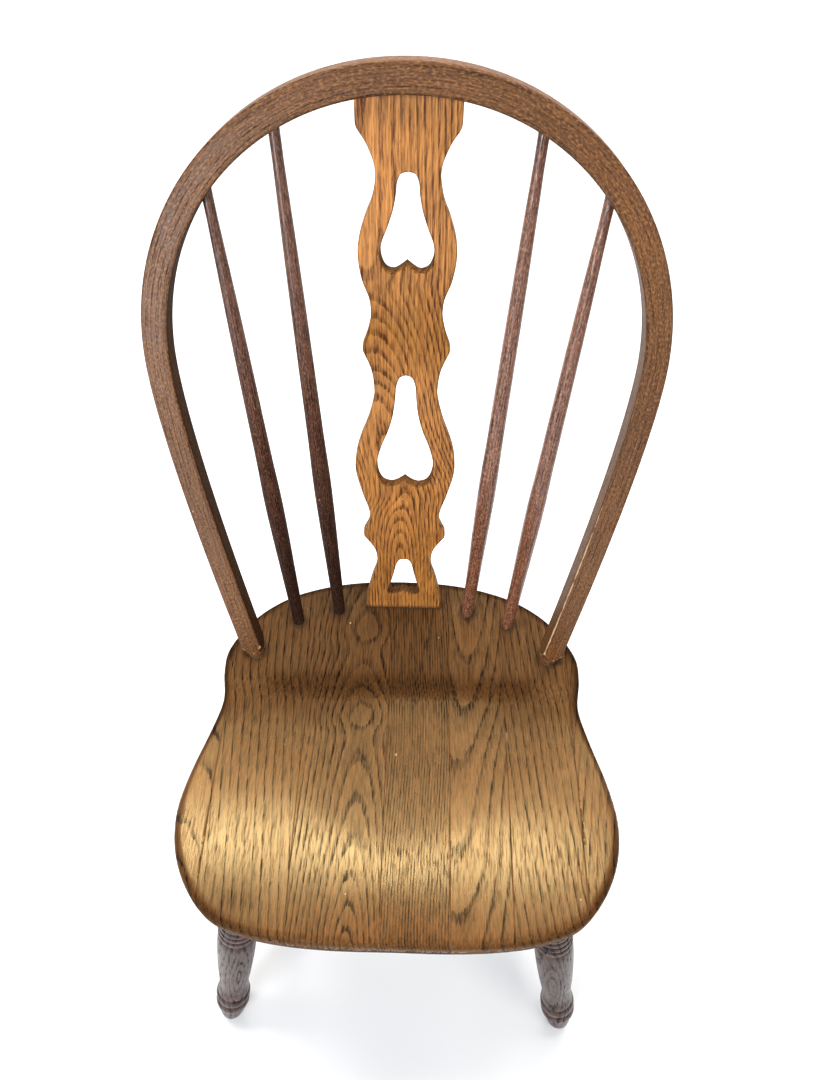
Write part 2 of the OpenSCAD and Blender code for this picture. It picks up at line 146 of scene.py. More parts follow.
class Shell:
    """A closed surface gathered from grids of points, with its fields."""

    def __init__(self, name: str, band: float = 0.3) -> None:
        """Starts an empty shell.

        Args:
            name: the name of the piece it becomes.
            band: share of each growth ring that is porous early wood.
        """
        self.name = name
        self.band = band
        self.points: list[Array] = []
        self.quads: list[Array] = []
        self.fields: dict[str, list[Array]] = {
            key: [] for key in ("grain", "ring", "lift", "wear", "grime_and_shade", "tone")}
        self.count = 0

    def add(self, points: Array, grain: Array, ring: Array | float = 0.0, lift: Array | float = 0.0,
            wear: Array | float = 0.0, grime_and_shade: Array | float = 0.0, tone: Array | float = 0.0,
            wrap: bool = False) -> None:
        """Adds a grid: each cell of four neighbouring points becomes a face.

        Args:
            points: rows x columns x 3, in millimetres.
            grain: the place of each point in its board, in millimetres.
            ring: growth rings counted from the heart.
            lift: rings crossed in 30 mm along the grain.
            wear: 0 to 1, how near a rubbed edge is.
            grime_and_shade: 0 to 1, soiling and painted shade, most in corners and where pieces meet.
            tone: paler above 0, darker below.
            wrap: True where the last column joins the first.
        """
        n, m = points.shape[:2]
        index = self.count + np.arange(n * m).reshape(n, m)
        if wrap:
            index = np.hstack([index, index[:, :1]])
        cells = np.stack([index[:-1, :-1], index[1:, :-1], index[1:, 1:], index[:-1, 1:]], axis=-1)
        self.points.append(points.reshape(-1, 3))
        self.quads.append(cells.reshape(-1, 4))
        self.fields["grain"].append(grain.reshape(-1, 3) * MM)
        values = {"ring": ring, "lift": lift, "wear": wear, "grime_and_shade": grime_and_shade, "tone": tone}
        for key, value in values.items():
            self.fields[key].append(np.broadcast_to(value, (n, m)).reshape(-1))
        self.count += n * m

    def build(self, crease: float = 38.0) -> bpy.types.Object:
        """Welds the grids into one mesh object in the chair's frame.

        Args:
            crease: edges sharper than this many degrees stay sharp.

        Returns:
            The new object, at the origin, with its place in its mesh.
        """
        points = (np.vstack(self.points) + [0.0, FRONT_Y, 0.0]) * MM
        mesh = bpy.data.meshes.new(self.name)
        mesh.from_pydata(points, [], np.vstack(self.quads))
        for key, parts in self.fields.items():
            vector = key == "grain"
            layer = mesh.attributes.new(key, "FLOAT_VECTOR" if vector else "FLOAT", "POINT")
            values = np.concatenate(parts).astype(np.float32).ravel()
            layer.data.foreach_set("vector" if vector else "value", values)
        band = mesh.attributes.new("band", "FLOAT", "POINT")
        band.data.foreach_set("value", np.full(self.count, self.band, np.float32))
        work = bmesh.new()
        work.from_mesh(mesh)
        bmesh.ops.remove_doubles(work, verts=work.verts, dist=4e-6)
        bmesh.ops.dissolve_degenerate(work, edges=work.edges, dist=1e-7)
        bmesh.ops.recalc_face_normals(work, faces=work.faces)
        work.to_mesh(mesh)
        work.free()
        mesh.shade_smooth()
        mesh.set_sharp_from_angle(angle=math.radians(crease))
        piece = bpy.data.objects.new(self.name, mesh)
        bpy.context.scene.collection.objects.link(piece)
        return piece


# ---- wood ----

@dataclass(frozen=True)
class Figure:
    """How a board was sawn from the tree.

    The ring count is the length of the two-part vector (distance across from
    the heart line / spacing, depth of the heart in rings), so straight lines
    show where the heart is far off, and arches where it lies under the face.
    """
    spacing: float
    heart: Knots = ((0.0, -300.0), (440.0, -300.0))
    depth: Knots = ((0.0, 0.0), (440.0, 0.0))
    slope: float = 0.35
    seed: float = 0.0

    def rings(self, across: Array, deep: Array, along: Array) -> Array:
        """Rings counted from the heart at each place in the board."""
        u = (across + self.slope * deep - through(self.heart, along)) / self.spacing
        return np.hypot(u, through(self.depth, along)) + deep * 0.02 + self.seed

    def lift(self, across: Array, deep: Array, along: Array) -> Array:
        """Rings crossed in 30 mm along the grain, taken from 8 mm of it; most where arches lie."""
        ahead, behind = (self.rings(across, deep, along + way) for way in (4.0, -4.0))
        return (ahead - behind) * 30.0 / 8.0

    @property
    def band(self) -> float:
        """Share of a ring that is early wood, which is much the same width in every ring."""
        return float(np.clip(1.9 / self.spacing, 0.14, 0.45))

    def place(self, across: Array, deep: Array, along: Array) -> Array:
        """Place in the board, moved by the seed so that no two boards repeat."""
        return joined(across, deep, along) + self.seed * np.array([37.0, 11.0, 53.0])


class Wire:
    """A value in a net; arithmetic on it adds the nodes that work it out."""

    def __init__(self, net: "Net", socket: bpy.types.NodeSocket) -> None:
        """Keeps the net and the socket that gives the value."""
        self.net = net
        self.socket = socket

    def math(self, op: str, *others: "Wire | float") -> "Wire":
        """One step of arithmetic with other values, named as Blender names it."""
        return self.net.node("Math", dict(enumerate((self, *others))), operation=op)

    def __add__(self, other: "Wire | float") -> "Wire":
        """The sum."""
        return self.math("ADD", other)

    def __sub__(self, other: "Wire | float") -> "Wire":
        """The difference."""
        return self.math("SUBTRACT", other)

    def __mul__(self, other: "Wire | float") -> "Wire":
        """The product."""
        return self.math("MULTIPLY", other)

    def __truediv__(self, other: "Wire | float") -> "Wire":
        """The quotient."""
        return self.math("DIVIDE", other)


Value = Wire | float | Triple


class Net:
    """The nodes of one material."""

    def __init__(self, name: str) -> None:
        """Starts a material with a shader and an output.

        Args:
            name: the material's name.
        """
        self.material = bpy.data.materials.new(name)
        self.material.use_nodes = True
        self.nodes = self.material.node_tree.nodes
        self.links = self.material.node_tree.links
        self.nodes.clear()
        self.shader = self.nodes.new("ShaderNodeBsdfPrincipled")
        output = self.nodes.new("ShaderNodeOutputMaterial")
        self.links.new(self.shader.outputs["BSDF"], output.inputs["Surface"])

    def put(self, node: bpy.types.Node, values: dict[int | str, Value]) -> None:
        """Joins or sets a node's inputs; a colour gets its fourth part here.

        Args:
            node: the node.
            values: the value of each input, by name or number.
        """
        for key, value in values.items():
            socket = node.inputs[key]
            if isinstance(value, Wire):
                self.links.new(value.socket, socket)
            elif isinstance(value, tuple) and len(socket.default_value) == 4:
                socket.default_value = (*value, 1.0)
            else:
                socket.default_value = value

    def node(self, kind: str, values: dict[int | str, Value], output: int | str = 0, **choices: str) -> Wire:
        """Adds a node.

        Args:
            kind: Blender's name for it, without "ShaderNode".
            values: the value of each input, by name or number.
            output: the output wanted, by name or number.
            choices: its other settings.

        Returns:
            The value of that output.
        """
        node = self.nodes.new(f"ShaderNode{kind}")
        for name, choice in choices.items():
            setattr(node, name, choice)
        self.put(node, values)
        return Wire(self, node.outputs[output])

    def field(self, name: str) -> Wire:
        """A field of the mesh: a vector for "grain", a number for the others."""
        return self.node("Attribute", {}, "Vector" if name == "grain" else "Fac", attribute_name=name)

    def scaled(self, vector: Wire, by: Triple, shift: Triple = (0.0, 0.0, 0.0)) -> Wire:
        """The vector multiplied and moved, part by part."""
        return self.node("Mapping", {"Vector": vector, "Scale": by, "Location": shift})

    def noise(self, vector: Wire, by: Triple, detail: float = 2.0, rough: float = 0.5,
              shift: Triple = (0.0, 0.0, 0.0)) -> Wire:
        """Soft noise, 0 to 1, with its cells stretched by the scale given."""
        values = {"Scale": 1.0, "Detail": detail, "Roughness": rough}
        return self.node("TexNoise", {"Vector": self.scaled(vector, by, shift), **values}, "Fac")

    def cells(self, vector: Wire, by: Triple) -> tuple[Wire, Wire]:
        """Points scattered through space.

        Args:
            vector: the place.
            by: points in a metre, each way.

        Returns:
            Distance to the nearest point, and that point's own chance number.
        """
        away = self.node("TexVoronoi", {"Vector": self.scaled(vector, by), "Scale": 1.0}, "Distance")
        colour = Wire(self, away.socket.node.outputs["Color"])
        return away, self.node("SeparateColor", {0: colour})

    def step(self, value: Wire, low: float, high: float, start: float = 0.0, end: float = 1.0) -> Wire:
        """Smooth step from start to end as the value goes from low to high."""
        values = dict(enumerate((value, low, high, start, end)))
        return self.node("MapRange", values, interpolation_type="SMOOTHSTEP")

    def mix(self, amount: Wire | float, a: Value, b: Value, way: str = "MIX") -> Wire:
        """Colours a and b mixed in the way named."""
        return self.node("Mix", {0: amount, 6: a, 7: b}, 2, data_type="RGBA", blend_type=way)

    def bump(self, height: Wire, distance: float, strength: float) -> None:
        """Sets the shader's normal from a height, 0 to 1, of the distance given in metres."""
        values = {"Strength": strength, "Distance": distance, "Height": height}
        self.put(self.shader, {"Normal": self.node("Bump", values)})


class Look(Enum):
    """The finishes of the chair, by the record's slots."""
    SEAT = "seat"
    BOW = "bow"
    SPLAT = "splat"
    SPINDLES = "spindles"
    LEGS = "undercarriage"


@dataclass(frozen=True)
class OakFinish:
    """Stained and lacquered oak.

    Growth rings come from the "ring" field; a noise stretched along the grain
    shifts them by "lift", which turns smooth arches into saw teeth. Each ring
    opens with a band of open pores, which show as dark dashes along the grain.
    Rays show as flecks. Lacquer is rubbed off along the worn edges, soiling and
    painted shade sit in the corners, and a few small chips and scratches show bare
    wood. Darkened wood, where "tone" is below 0, has lost its gloss; much of that
    darkening is painted shade.
    """
    name: str
    light: Triple
    dark: Triple
    pore: Triple
    bare: Triple
    # colour of soiling, and of the painted shade in corners and where pieces meet
    dirt_and_shade: Triple = (0.022, 0.012, 0.008)
    chipped: Triple = (0.62, 0.5, 0.34)
    ring_depth: float = 0.95
    sway: float = 0.9
    jag: float = 0.6
    wander: float = 0.12
    pores: float = 0.8
    loose: float = 0.22
    fibre: float = 0.4
    fleck: float = 0.0
    fleck_colour: Triple = (0.3, 0.15, 0.07)
    fleck_scale: Triple = (760, 760, 300)
    mottle: float = 0.25
    worn: float = 0.6
    chips: float = 0.35
    scratches: float = 0.2
    roughness: float = 0.36
    sheen_tint: Triple = (1.0, 1.0, 1.0)
    specular: float = 0.5
    relief: float = 0.00014

    def early_wood(self, net: Net, grain: Wire) -> Wire:
        """Early wood, high in the band that opens each ring and low in the rest.

        The ring count is moved by three noises, each less its middle: a slow sway,
        teeth as tall as the lift, and a fine wander.

        Args:
            net: the material's net.
            grain: the place in the board.

        Returns:
            Share of early wood, 0 to 1.
        """
        sway = (net.noise(grain, (16, 16, 3.0), 2.0) - 0.5) * self.sway
        tooth = (net.noise(grain, (340, 340, 20), 3.0, 0.62) - 0.5) * (net.field("lift") * self.jag)
        wander = (net.noise(grain, (300, 300, 70), 2.0) - 0.5) * self.wander
        year = (net.field("ring") + sway + tooth + wander).math("FRACT") / net.field("band")
        early = net.step(year, 0.0, 0.2) * net.step(year, 0.6, 1.2, 1.0, 0.34)
        strong = net.noise(grain, (60, 60, 5), 1.0, 0.5, (3.1, 0, 0))
        return early * net.step(year, 1.2, 2.8, 1.0, 0.12) * net.step(strong, 0.3, 0.6, 0.6, 1.0)

    def stained(self, net: Net, grain: Wire, early: Wire, pore: Wire, fibre: Wire) -> Wire:
        """Colour of the stained wood, with its rings, its fibres, its pores and its rays.

        Args:
            net: the material's net.
            grain: the place in the board.
            early: share of early wood, 0 to 1.
            pore: 1 in an open pore.
            fibre: noise along the grain, 0 to 1.

        Returns:
            The colour.
        """
        wood = net.mix(early * self.ring_depth, self.light, self.dark)
        streak = net.step(fibre, 0.25, 0.75, 1.0 - self.fibre, 1.0 + self.fibre)
        wood = net.mix(1.0, wood, streak, "MULTIPLY")
        wood = net.mix(pore * self.pores, wood, self.pore)
        if self.fleck > 0.0:
            ray = net.noise(grain, self.fleck_scale, 2.0, 0.6, (0, 0, 5.0))
            wood = net.mix(net.step(ray, 0.36, 0.47, 1.0, 0.0) * self.fleck, wood, self.pore)
            wood = net.mix(net.step(ray, 0.52, 0.66) * self.fleck, wood, self.fleck_colour)
        return wood

    def marks(self, net: Net, grain: Wire) -> tuple[Wire, Wire, Wire, Wire]:
        """What use has left.

        Args:
            net: the material's net.
            grain: the place in the board.

        Returns:
            Where edges are rubbed, where small chips lie, where hair scratches
            run, and where soiling and painted shade sit, each from 0 to 1.
        """
        breakup = net.noise(grain, (210, 210, 60), 4.0, 0.7, (1.0, 2.0, 3.0)) - 0.5
        rubbed = net.step(net.field("wear") + breakup * 1.1, 0.62, 0.98) * self.worn
        away, chance = net.cells(grain, (62, 62, 46))
        chip = net.step(away, 0.05, 0.085, 1.0, 0.0) * chance.math("LESS_THAN", 0.035)
        line = (net.noise(grain, (30, 30, 19), 0.0, 0.5, (9.0, 0, 4.0)) - 0.5).math("ABSOLUTE")
        where = net.step(net.noise(grain, (22, 22, 26), 2.0, 0.6, (0, 0, 8.0)), 0.56, 0.66)
        scratch = net.step(line, 0.0, 0.0035, 1.0, 0.0) * where * self.scratches
        # soiling and painted shade, read from the grime_and_shade field
        soiled_and_shaded = net.step(net.field("grime_and_shade") + breakup * 0.6, 0.3, 1.0, 0.0, 0.85)
        return rubbed, chip, scratch, soiled_and_shaded

    def material(self) -> bpy.types.Material:
        """Builds the finish.

        Returns:
            The material, whose colour, roughness and relief all follow the grain.
        """
        net = Net(self.name)
        grain, tone = net.field("grain"), net.field("tone")
        fibre = net.noise(grain, (640, 640, 24), 3.0, 0.65)
        fine = net.noise(grain, (640, 640, 58), 3.0, 0.6, (0, 3.0, 0))
        early = self.early_wood(net, grain) * net.step(fine, 0.4, 0.56, 0.5, 1.0)
        pore = net.step(fine, 0.5, 0.6) * (early * (1.0 - self.loose) + self.loose)
        mottle = net.noise(grain, (10, 10, 5), 3.0, 0.6, (0, 7.0, 0)) - 0.5
        rubbed, chip, scratch, soiled_and_shaded = self.marks(net, grain)

        wood = self.stained(net, grain, early, pore, fibre)
        shade = (mottle * (2 * self.mottle) + 1.0) * (tone * 0.5 + 1.0)
        wood = net.mix(1.0, wood, shade.math("MAXIMUM", 0.04), "MULTIPLY")
        for amount, colour in ((rubbed, self.bare), (chip * self.chips, self.chipped),
                               (scratch, self.bare), (soiled_and_shaded, self.dirt_and_shade)):
            wood = net.mix(amount, wood, colour)

        dull = net.step(tone, -1.0, 0.1, 1.0, 0.0)
        rough = pore * 0.2 + self.roughness + rubbed * 0.18 + soiled_and_shaded * 0.2 + mottle * 0.16 + dull * 0.4
        shine = (early * 0.75).math("MAXIMUM", pore) * (-0.8 * self.specular) + self.specular
        shine = shine * (dull * -0.85 + 1.0)
        net.put(net.shader, {"Base Color": wood, "Roughness": rough, "Specular Tint": self.sheen_tint,
                             "Specular IOR Level": shine.math("MAXIMUM", 0.0)})
        height = pore * -0.7 + 0.8 + fibre * 0.1 + early * -0.12 + chip * -0.6 + scratch * -0.5
        net.bump(height, self.relief, 0.7)
        log.info("finish %s: %d nodes", self.name, len(net.nodes))
        return net.material


FINISHES = {
    Look.SEAT: OakFinish(
        "oak_seat", light=(0.107, 0.041, 0.0115), dark=(0.018, 0.0085, 0.005), pore=(0.009, 0.0045, 0.003),
        bare=(0.42, 0.27, 0.13), sway=0.4, loose=0.3, mottle=0.42, roughness=0.24,
        sheen_tint=(1.0, 0.76, 0.36), specular=0.62),
    Look.BOW: OakFinish(
        "oak_bow", light=(0.115, 0.045, 0.0135), dark=(0.045, 0.017, 0.007), pore=(0.022, 0.009, 0.005),
        bare=(0.52, 0.34, 0.19), ring_depth=0.3, pores=0.5, fleck=0.65, fleck_colour=(0.26, 0.12, 0.038),
        mottle=0.4, worn=0.85, roughness=0.38, specular=0.38),
    Look.SPLAT: OakFinish(
        "oak_splat", light=(0.4, 0.162, 0.034), dark=(0.085, 0.026, 0.008), pore=(0.07, 0.022, 0.008),
        bare=(0.6, 0.36, 0.16), sway=0.4, jag=0.34, wander=0.04, loose=0.32, mottle=0.4,
        roughness=0.38, specular=0.4),
    Look.SPINDLES: OakFinish(
        "oak_spindle", light=(0.115, 0.042, 0.022), dark=(0.04, 0.015, 0.009), pore=(0.01, 0.005, 0.004),
        bare=(0.4, 0.24, 0.15), ring_depth=0.6, fleck=0.5, fleck_colour=(0.34, 0.17, 0.1),
        fleck_scale=(1100, 1100, 260), worn=0.5, roughness=0.22, specular=0.7),
    Look.LEGS: OakFinish(
        "oak_leg", light=(0.078, 0.045, 0.037), dark=(0.009, 0.006, 0.0055), pore=(0.006, 0.004, 0.004),
        bare=(0.36, 0.24, 0.16), worn=0.4, roughness=0.26, specular=0.12),
}


@dataclass
class Workshop:
    """Finishes each shell: its material, its body and its solid."""
    materials: dict[Look, bpy.types.Material] = field(default_factory=dict)

    def dress(self, shell: Shell, look: Look, crease: float = 38.0) -> bpy.types.Object:
        """Makes the piece and lets it stand for the solid of the same name.

        Args:
            shell: the closed surface, named after its solid.
            look: the finish it takes.
            crease: edges sharper than this many degrees stay sharp.

        Returns:
            The finished piece.
        """
        if look not in self.materials:
            self.materials[look] = FINISHES[look].material()
        node = shell.name
        shell.name = f"{node}_oak"
        piece = shell.build(crease)
        piece.data.materials.append(self.materials[look])
        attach(piece, "root")
        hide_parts(node)
        log.info("%s: %d faces", piece.name, len(piece.data.polygons))
        return piece


# ---- seat ----

@dataclass
class Seat:
    """The glued and carved seat: seven boards under one saddled face.

    Joints are shares of half the width; "feet" gives x, y and the radius of what
    stands on each side, and "splat_foot" half the splat's width, its y and half
    its thickness. The outline is drawn for the width and depth in "drawn".
    """
    dish: float = 7.0
    cove_y: float = 297.0
    cove_l: float = 34.0
    crest_y: float = 92.0
    crest_sweep: float = 56.0
    crest_drop: float = 0.5
    roll: float = 7.0
    top_round: float = 8.0
    under_round: float = 14.0
    joint_dip: float = 0.22
    drawn: tuple[float, float] = (479.0, 437.0)
    feet: tuple[Triple, ...] = ((179, 328, 15), (81, 388, 11), (131, 372, 11))
    splat_foot: Triple = (48, 401, 6.5)
    joints: tuple[float, ...] = (-1.1, -0.85, -0.46, -0.06, 0.24, 0.51, 0.83, 1.1)
    figures: tuple[Figure, ...] = (
        Figure(13, ((0, -236), (437, -222)),
               ((0, 0.3), (60, 1.3), (110, 2.6), (180, 3.6), (240, 4.9), (437, 6.5)), seed=1.3),
        Figure(9.6, ((0, -316), (120, -321), (290, -339), (437, -343)), seed=2.7),
        Figure(5.6, ((0, -50), (120, -45), (250, -48), (437, -40)),
               ((0, 0.3), (40, 2.1), (90, 3.7), (150, 5.1), (205, 6.3), (226, 6.5), (250, 5.7),
                (285, 7.1), (330, 8.3), (365, 7.6), (437, 9.2)), seed=3.1),
        Figure(3.1, ((0, -160), (200, -150), (437, -158)), seed=4.9),
        Figure(8, ((0, 62), (200, 66), (300, 78), (437, 84)),
               ((0, 8.6), (30, 8), (85, 7), (190, 6), (262, 5), (315, 4), (375, 3),
                (437, 2)), seed=5.2),
        Figure(9.2, ((0, 48), (200, 28), (437, 0)), seed=6.6),
        Figure(8.4, ((0, 116), (437, 186)), seed=7.4))
    tones: tuple[float, ...] = (0.1, 0.0, -0.03, -0.06, 0.06, 0.03, -0.02)
    outline: Array = field(init=False)

    def __post_init__(self) -> None:
        """Works out the right half of the outline, from the front to the back."""
        half = curve([
            (0, 0), (60, 0), (110, 3), (152, 10), (190, 25), (217, 54), (234, 90), (239.5, 130), (233, 172),
            (218, 224), (209.7, 264), (214, 300), (213, 328), (199, 357), (176, 386), (140, 411), (95, 427),
            (48, 435), (0, 437)], 12)
        self.outline = half * [SEAT_W, SEAT_D] / self.drawn

    @property
    def front(self) -> Array:
        """The outline from the middle of the front to the widest place."""
        return self.outline[:int(np.argmax(self.outline[:, 0]))]

    def inset(self, x: Array, y: Array) -> Array:
        """How far in from the edge a place is, measured towards the seat's middle.

        The outline is read as a distance from the middle at each angle; the share
        of that distance left outside the place, times half the seat's depth, is
        the inset.

        Args:
            x: places across, from the middle.
            y: places back from the front edge.

        Returns:
            The inset, 0 on the outline and past it.
        """
        mid = SEAT_D / 2
        edge_x, edge_y = self.outline.T
        edge_angle, edge_reach = np.arctan2(edge_x, mid - edge_y), np.hypot(edge_x, mid - edge_y)
        reach = np.interp(np.arctan2(np.abs(x), mid - y), edge_angle, edge_reach)
        return np.maximum(0.0, 1 - np.hypot(x, mid - y) / reach) * mid

    def crest(self, x: Array) -> Array:
        """y of the saddle's crest: forward in the middle, further back under the thighs."""
        return self.crest_y + self.crest_sweep * ease(np.abs(x) / (SEAT_W / 2) * 1.6)

    def carved(self, x: Array, y: Array) -> Array:
        """Depth carved off the face.

        In front of the crest the face rolls down as the square of the distance to
        it; behind the crest it eases down into the bowl, which ends in the cove and
        fades out towards the sides. Behind the cove lies the flat shelf.

        Args:
            x: places across, from the middle.
            y: places back from the front edge.

        Returns:
            The depth below the flat.
        """
        side = np.abs(x) / (SEAT_W / 2)
        crest = self.crest(x)
        shelf = ease((y - self.cove_y + 12) / 22)
        rim = (1 - shelf) * (self.crest_drop + self.roll * np.maximum(0, 1 - y / crest)**2)
        fall = ease((y - crest) / (self.cove_y - self.cove_l - crest))
        bowl = ease((self.cove_y - y) / self.cove_l) * fall
        return rim + self.dish * bowl * ease((0.98 - side) * 3.5)

    def rounding(self, inset: Array, radius: float) -> Array:
        """Fall of an edge rounded by a quarter circle: r - sqrt(r^2 - (r - inset)^2)."""
        left = np.maximum(0.0, radius - inset)
        return radius - np.sqrt(np.maximum(0.0, radius**2 - left**2))

    def top(self, x: Array, y: Array) -> Array:
        """Height of the face over the floor: flat, less the rounded edge, less the hollow."""
        return SEAT_H - self.rounding(self.inset(x, y), self.top_round) - self.carved(x, y)

    def under(self, x: Array, y: Array) -> Array:
        """Height of the underside, flat with a broad rounded edge."""
        return SEAT_H - SEAT_T + self.rounding(self.inset(x, y), self.under_round)

    def edge_plan(self, joint: float, t: Array) -> Array:
        """Grid of (x, y) places over the outermost board on the right.

        Each row goes from the front to the back, further out than the one before;
        a place past the outline is drawn in to it.

        Args:
            joint: x of the board's joint.
            t: share of the board's length at each column.

        Returns:
            Rows from the joint outwards, columns from the front to the back.
        """
        y0 = np.interp(joint, self.front[:, 0], self.front[:, 1])
        y1 = self.outline[np.flatnonzero(self.outline[:, 0] > joint)[-1] + 1, 1]
        y = y0 + (y1 - y0) * t
        reach = np.maximum(np.interp(y, self.outline[:, 1], self.outline[:, 0]), joint)
        return joined(joint + (reach - joint) * np.linspace(0, 1, 15)[:, None]**0.9, y)

    def plan(self, k: int) -> Array:
        """Grid of (x, y) places over board k, closer together near its edges.

        Args:
            k: number of the board, from the left.

        Returns:
            Rows across the board, columns from the front to the back.
        """
        a, b = (share * SEAT_W / 2 for share in self.joints[k:k + 2])
        ends = 0.08 - 0.08 * np.cos(np.linspace(0, math.pi, 16)[:8])
        t = np.concatenate([ends, np.linspace(0.08, 0.92, 170), 1 - ends[::-1]])
        if max(abs(a), abs(b)) > SEAT_W / 2:
            grid = self.edge_plan(min(abs(a), abs(b)), t)
            return grid if b > 0 else grid[::-1] * [-1, 1]
        x = np.concatenate([[a, a + 0.4], np.linspace(a + 2, b - 2, int((b - a) / 2.6)), [b - 0.4, b]])
        rear = self.outline[self.outline[:, 1] > SEAT_D * 0.66][::-1]
        y0, y1 = (np.interp(np.abs(x), edge[:, 0], edge[:, 1])[:, None] for edge in (self.front, rear))
        return joined(x[:, None], y0 + (y1 - y0) * t)

    def rubbed(self, x: Array, y: Array) -> Array:
        """Tone of the face: painted light and shade, and one old stain.

        Paler with a painted highlight in a band along the crest, a painted sheen at
        the front's middle and painted light in the bowl; darker with painted shade on
        the shelf, which is partly soiling, and in the cove; darker too in one old stain.

        Args:
            x: places across, from the middle.
            y: places back from the front edge.

        Returns:
            The tone, above 0 where the wood is paler.
        """
        side = np.abs(x) / (SEAT_W / 2)
        # painted highlight: a band along the crest, where the top light is mirrored
        band = hill(y, self.crest_y + 62 * ease(side * 1.7), 48)
        # paler: painted highlight along the crest, painted sheen at the front's middle, painted light in the
        # bowl
        pale = band + 1.5 * hill(x, 0, 100) * ease((72 - y) / 60) + 0.75 * hill(x, 20, 75) * hill(y, 244, 32)
        # darker: painted shade on the shelf, partly soiling there, and painted shade in the cove
        dull = 0.62 * ease((y - 190) / 76) + 0.45 * hill(y, 286, 14) * ease((0.74 - side) * 6)
        # the last term is an old dark stain at the front left
        return 0.55 * pale - dull - 0.4 * hill(x, -165, 40) * hill(y, 36, 24)

    def soil_and_shade(self, x: Array, y: Array) -> Array:
        """Soiling and painted shade round the feet of the bow, the spindles and the splat.

        Args:
            x: places across, from the middle.
            y: places back from the front edge.

        Returns:
            Soiling and painted shade, 0 to 0.9.
        """
        total = sum(0.75 * fade(np.hypot(np.abs(x) - fx, y - fy) - r, 4.5) for fx, fy, r in self.feet)
        half_w, fy, half_t = self.splat_foot
        gap = np.hypot(np.maximum(np.abs(x) - half_w, 0), np.maximum(np.abs(y - fy) - half_t, 0))
        # the strongest darkening, round the splat's foot, is painted shadow
        return np.clip(total + 0.9 * fade(gap, 5.5), 0, 0.9)

    def board(self, k: int) -> Shell:
        """Builds board k: its face, its underside and the four walls between them.

        Args:
            k: number of the board, from 0 at the left.

        Returns:
            The closed shell.
        """
        figure = self.figures[k]
        shell = Shell(f"seat_board_{k + 1}", figure.band)
        x, y = np.moveaxis(self.plan(k), -1, 0)
        joint = np.zeros(x.shape)
        for row, share in ((0, self.joints[k]), (-1, self.joints[k + 1])):
            joint[row] = float(abs(share) < 1)
        top, under = self.top(x, y) - self.joint_dip * joint, self.under(x, y)
        d = self.inset(x, y)
        # edge: a dark line along the outline of both faces, painted shade
        lip, edge = hill(d, 1.5, 2.2), hill(d, 3.0, 3.8)
        # The face's tone is painted light and shade from rubbed(); the underside is darker, most near its
        # rounded edge: painted shade
        faces = ((top, 0.42 * lip, 0.75 * joint + self.soil_and_shade(x, y), self.rubbed(x, y)),
                 (under, 0.2 * lip, 0.35 * joint, -0.3 - 0.6 * fade(d, 9.0)))
        for z, wear, grime_and_shade, tone in faces:
            cut = (x, z - SEAT_H, y)
            shell.add(joined(x, y, z), figure.place(x, z, y), figure.rings(*cut), figure.lift(*cut),
                      wear, grime_and_shade, self.tones[k] - 0.95 * edge + tone)
        f = np.linspace(0, 1, 9)[:, None]
        for side in (np.s_[0, :], np.s_[-1, :], np.s_[:, 0], np.s_[:, -1]):
            ex, ey, z = x[side], y[side], under[side] + (top[side] - under[side]) * f
            # walls darker by 0.8: painted shade on the seat's edge
            shell.add(joined(ex, ey, z), figure.place(ex, z, ey), figure.rings(ex, z - SEAT_H, ey), 0.0,
                      0.3 * f**4, 0.0, self.tones[k] - 0.8)
        return shell

    def build(self, shop: Workshop) -> None:
        """Builds and finishes the seven boards."""
        for k in range(len(self.figures)):
            shop.dress(self.board(k), Look.SEAT, crease=50.0)


# ---- bow ----

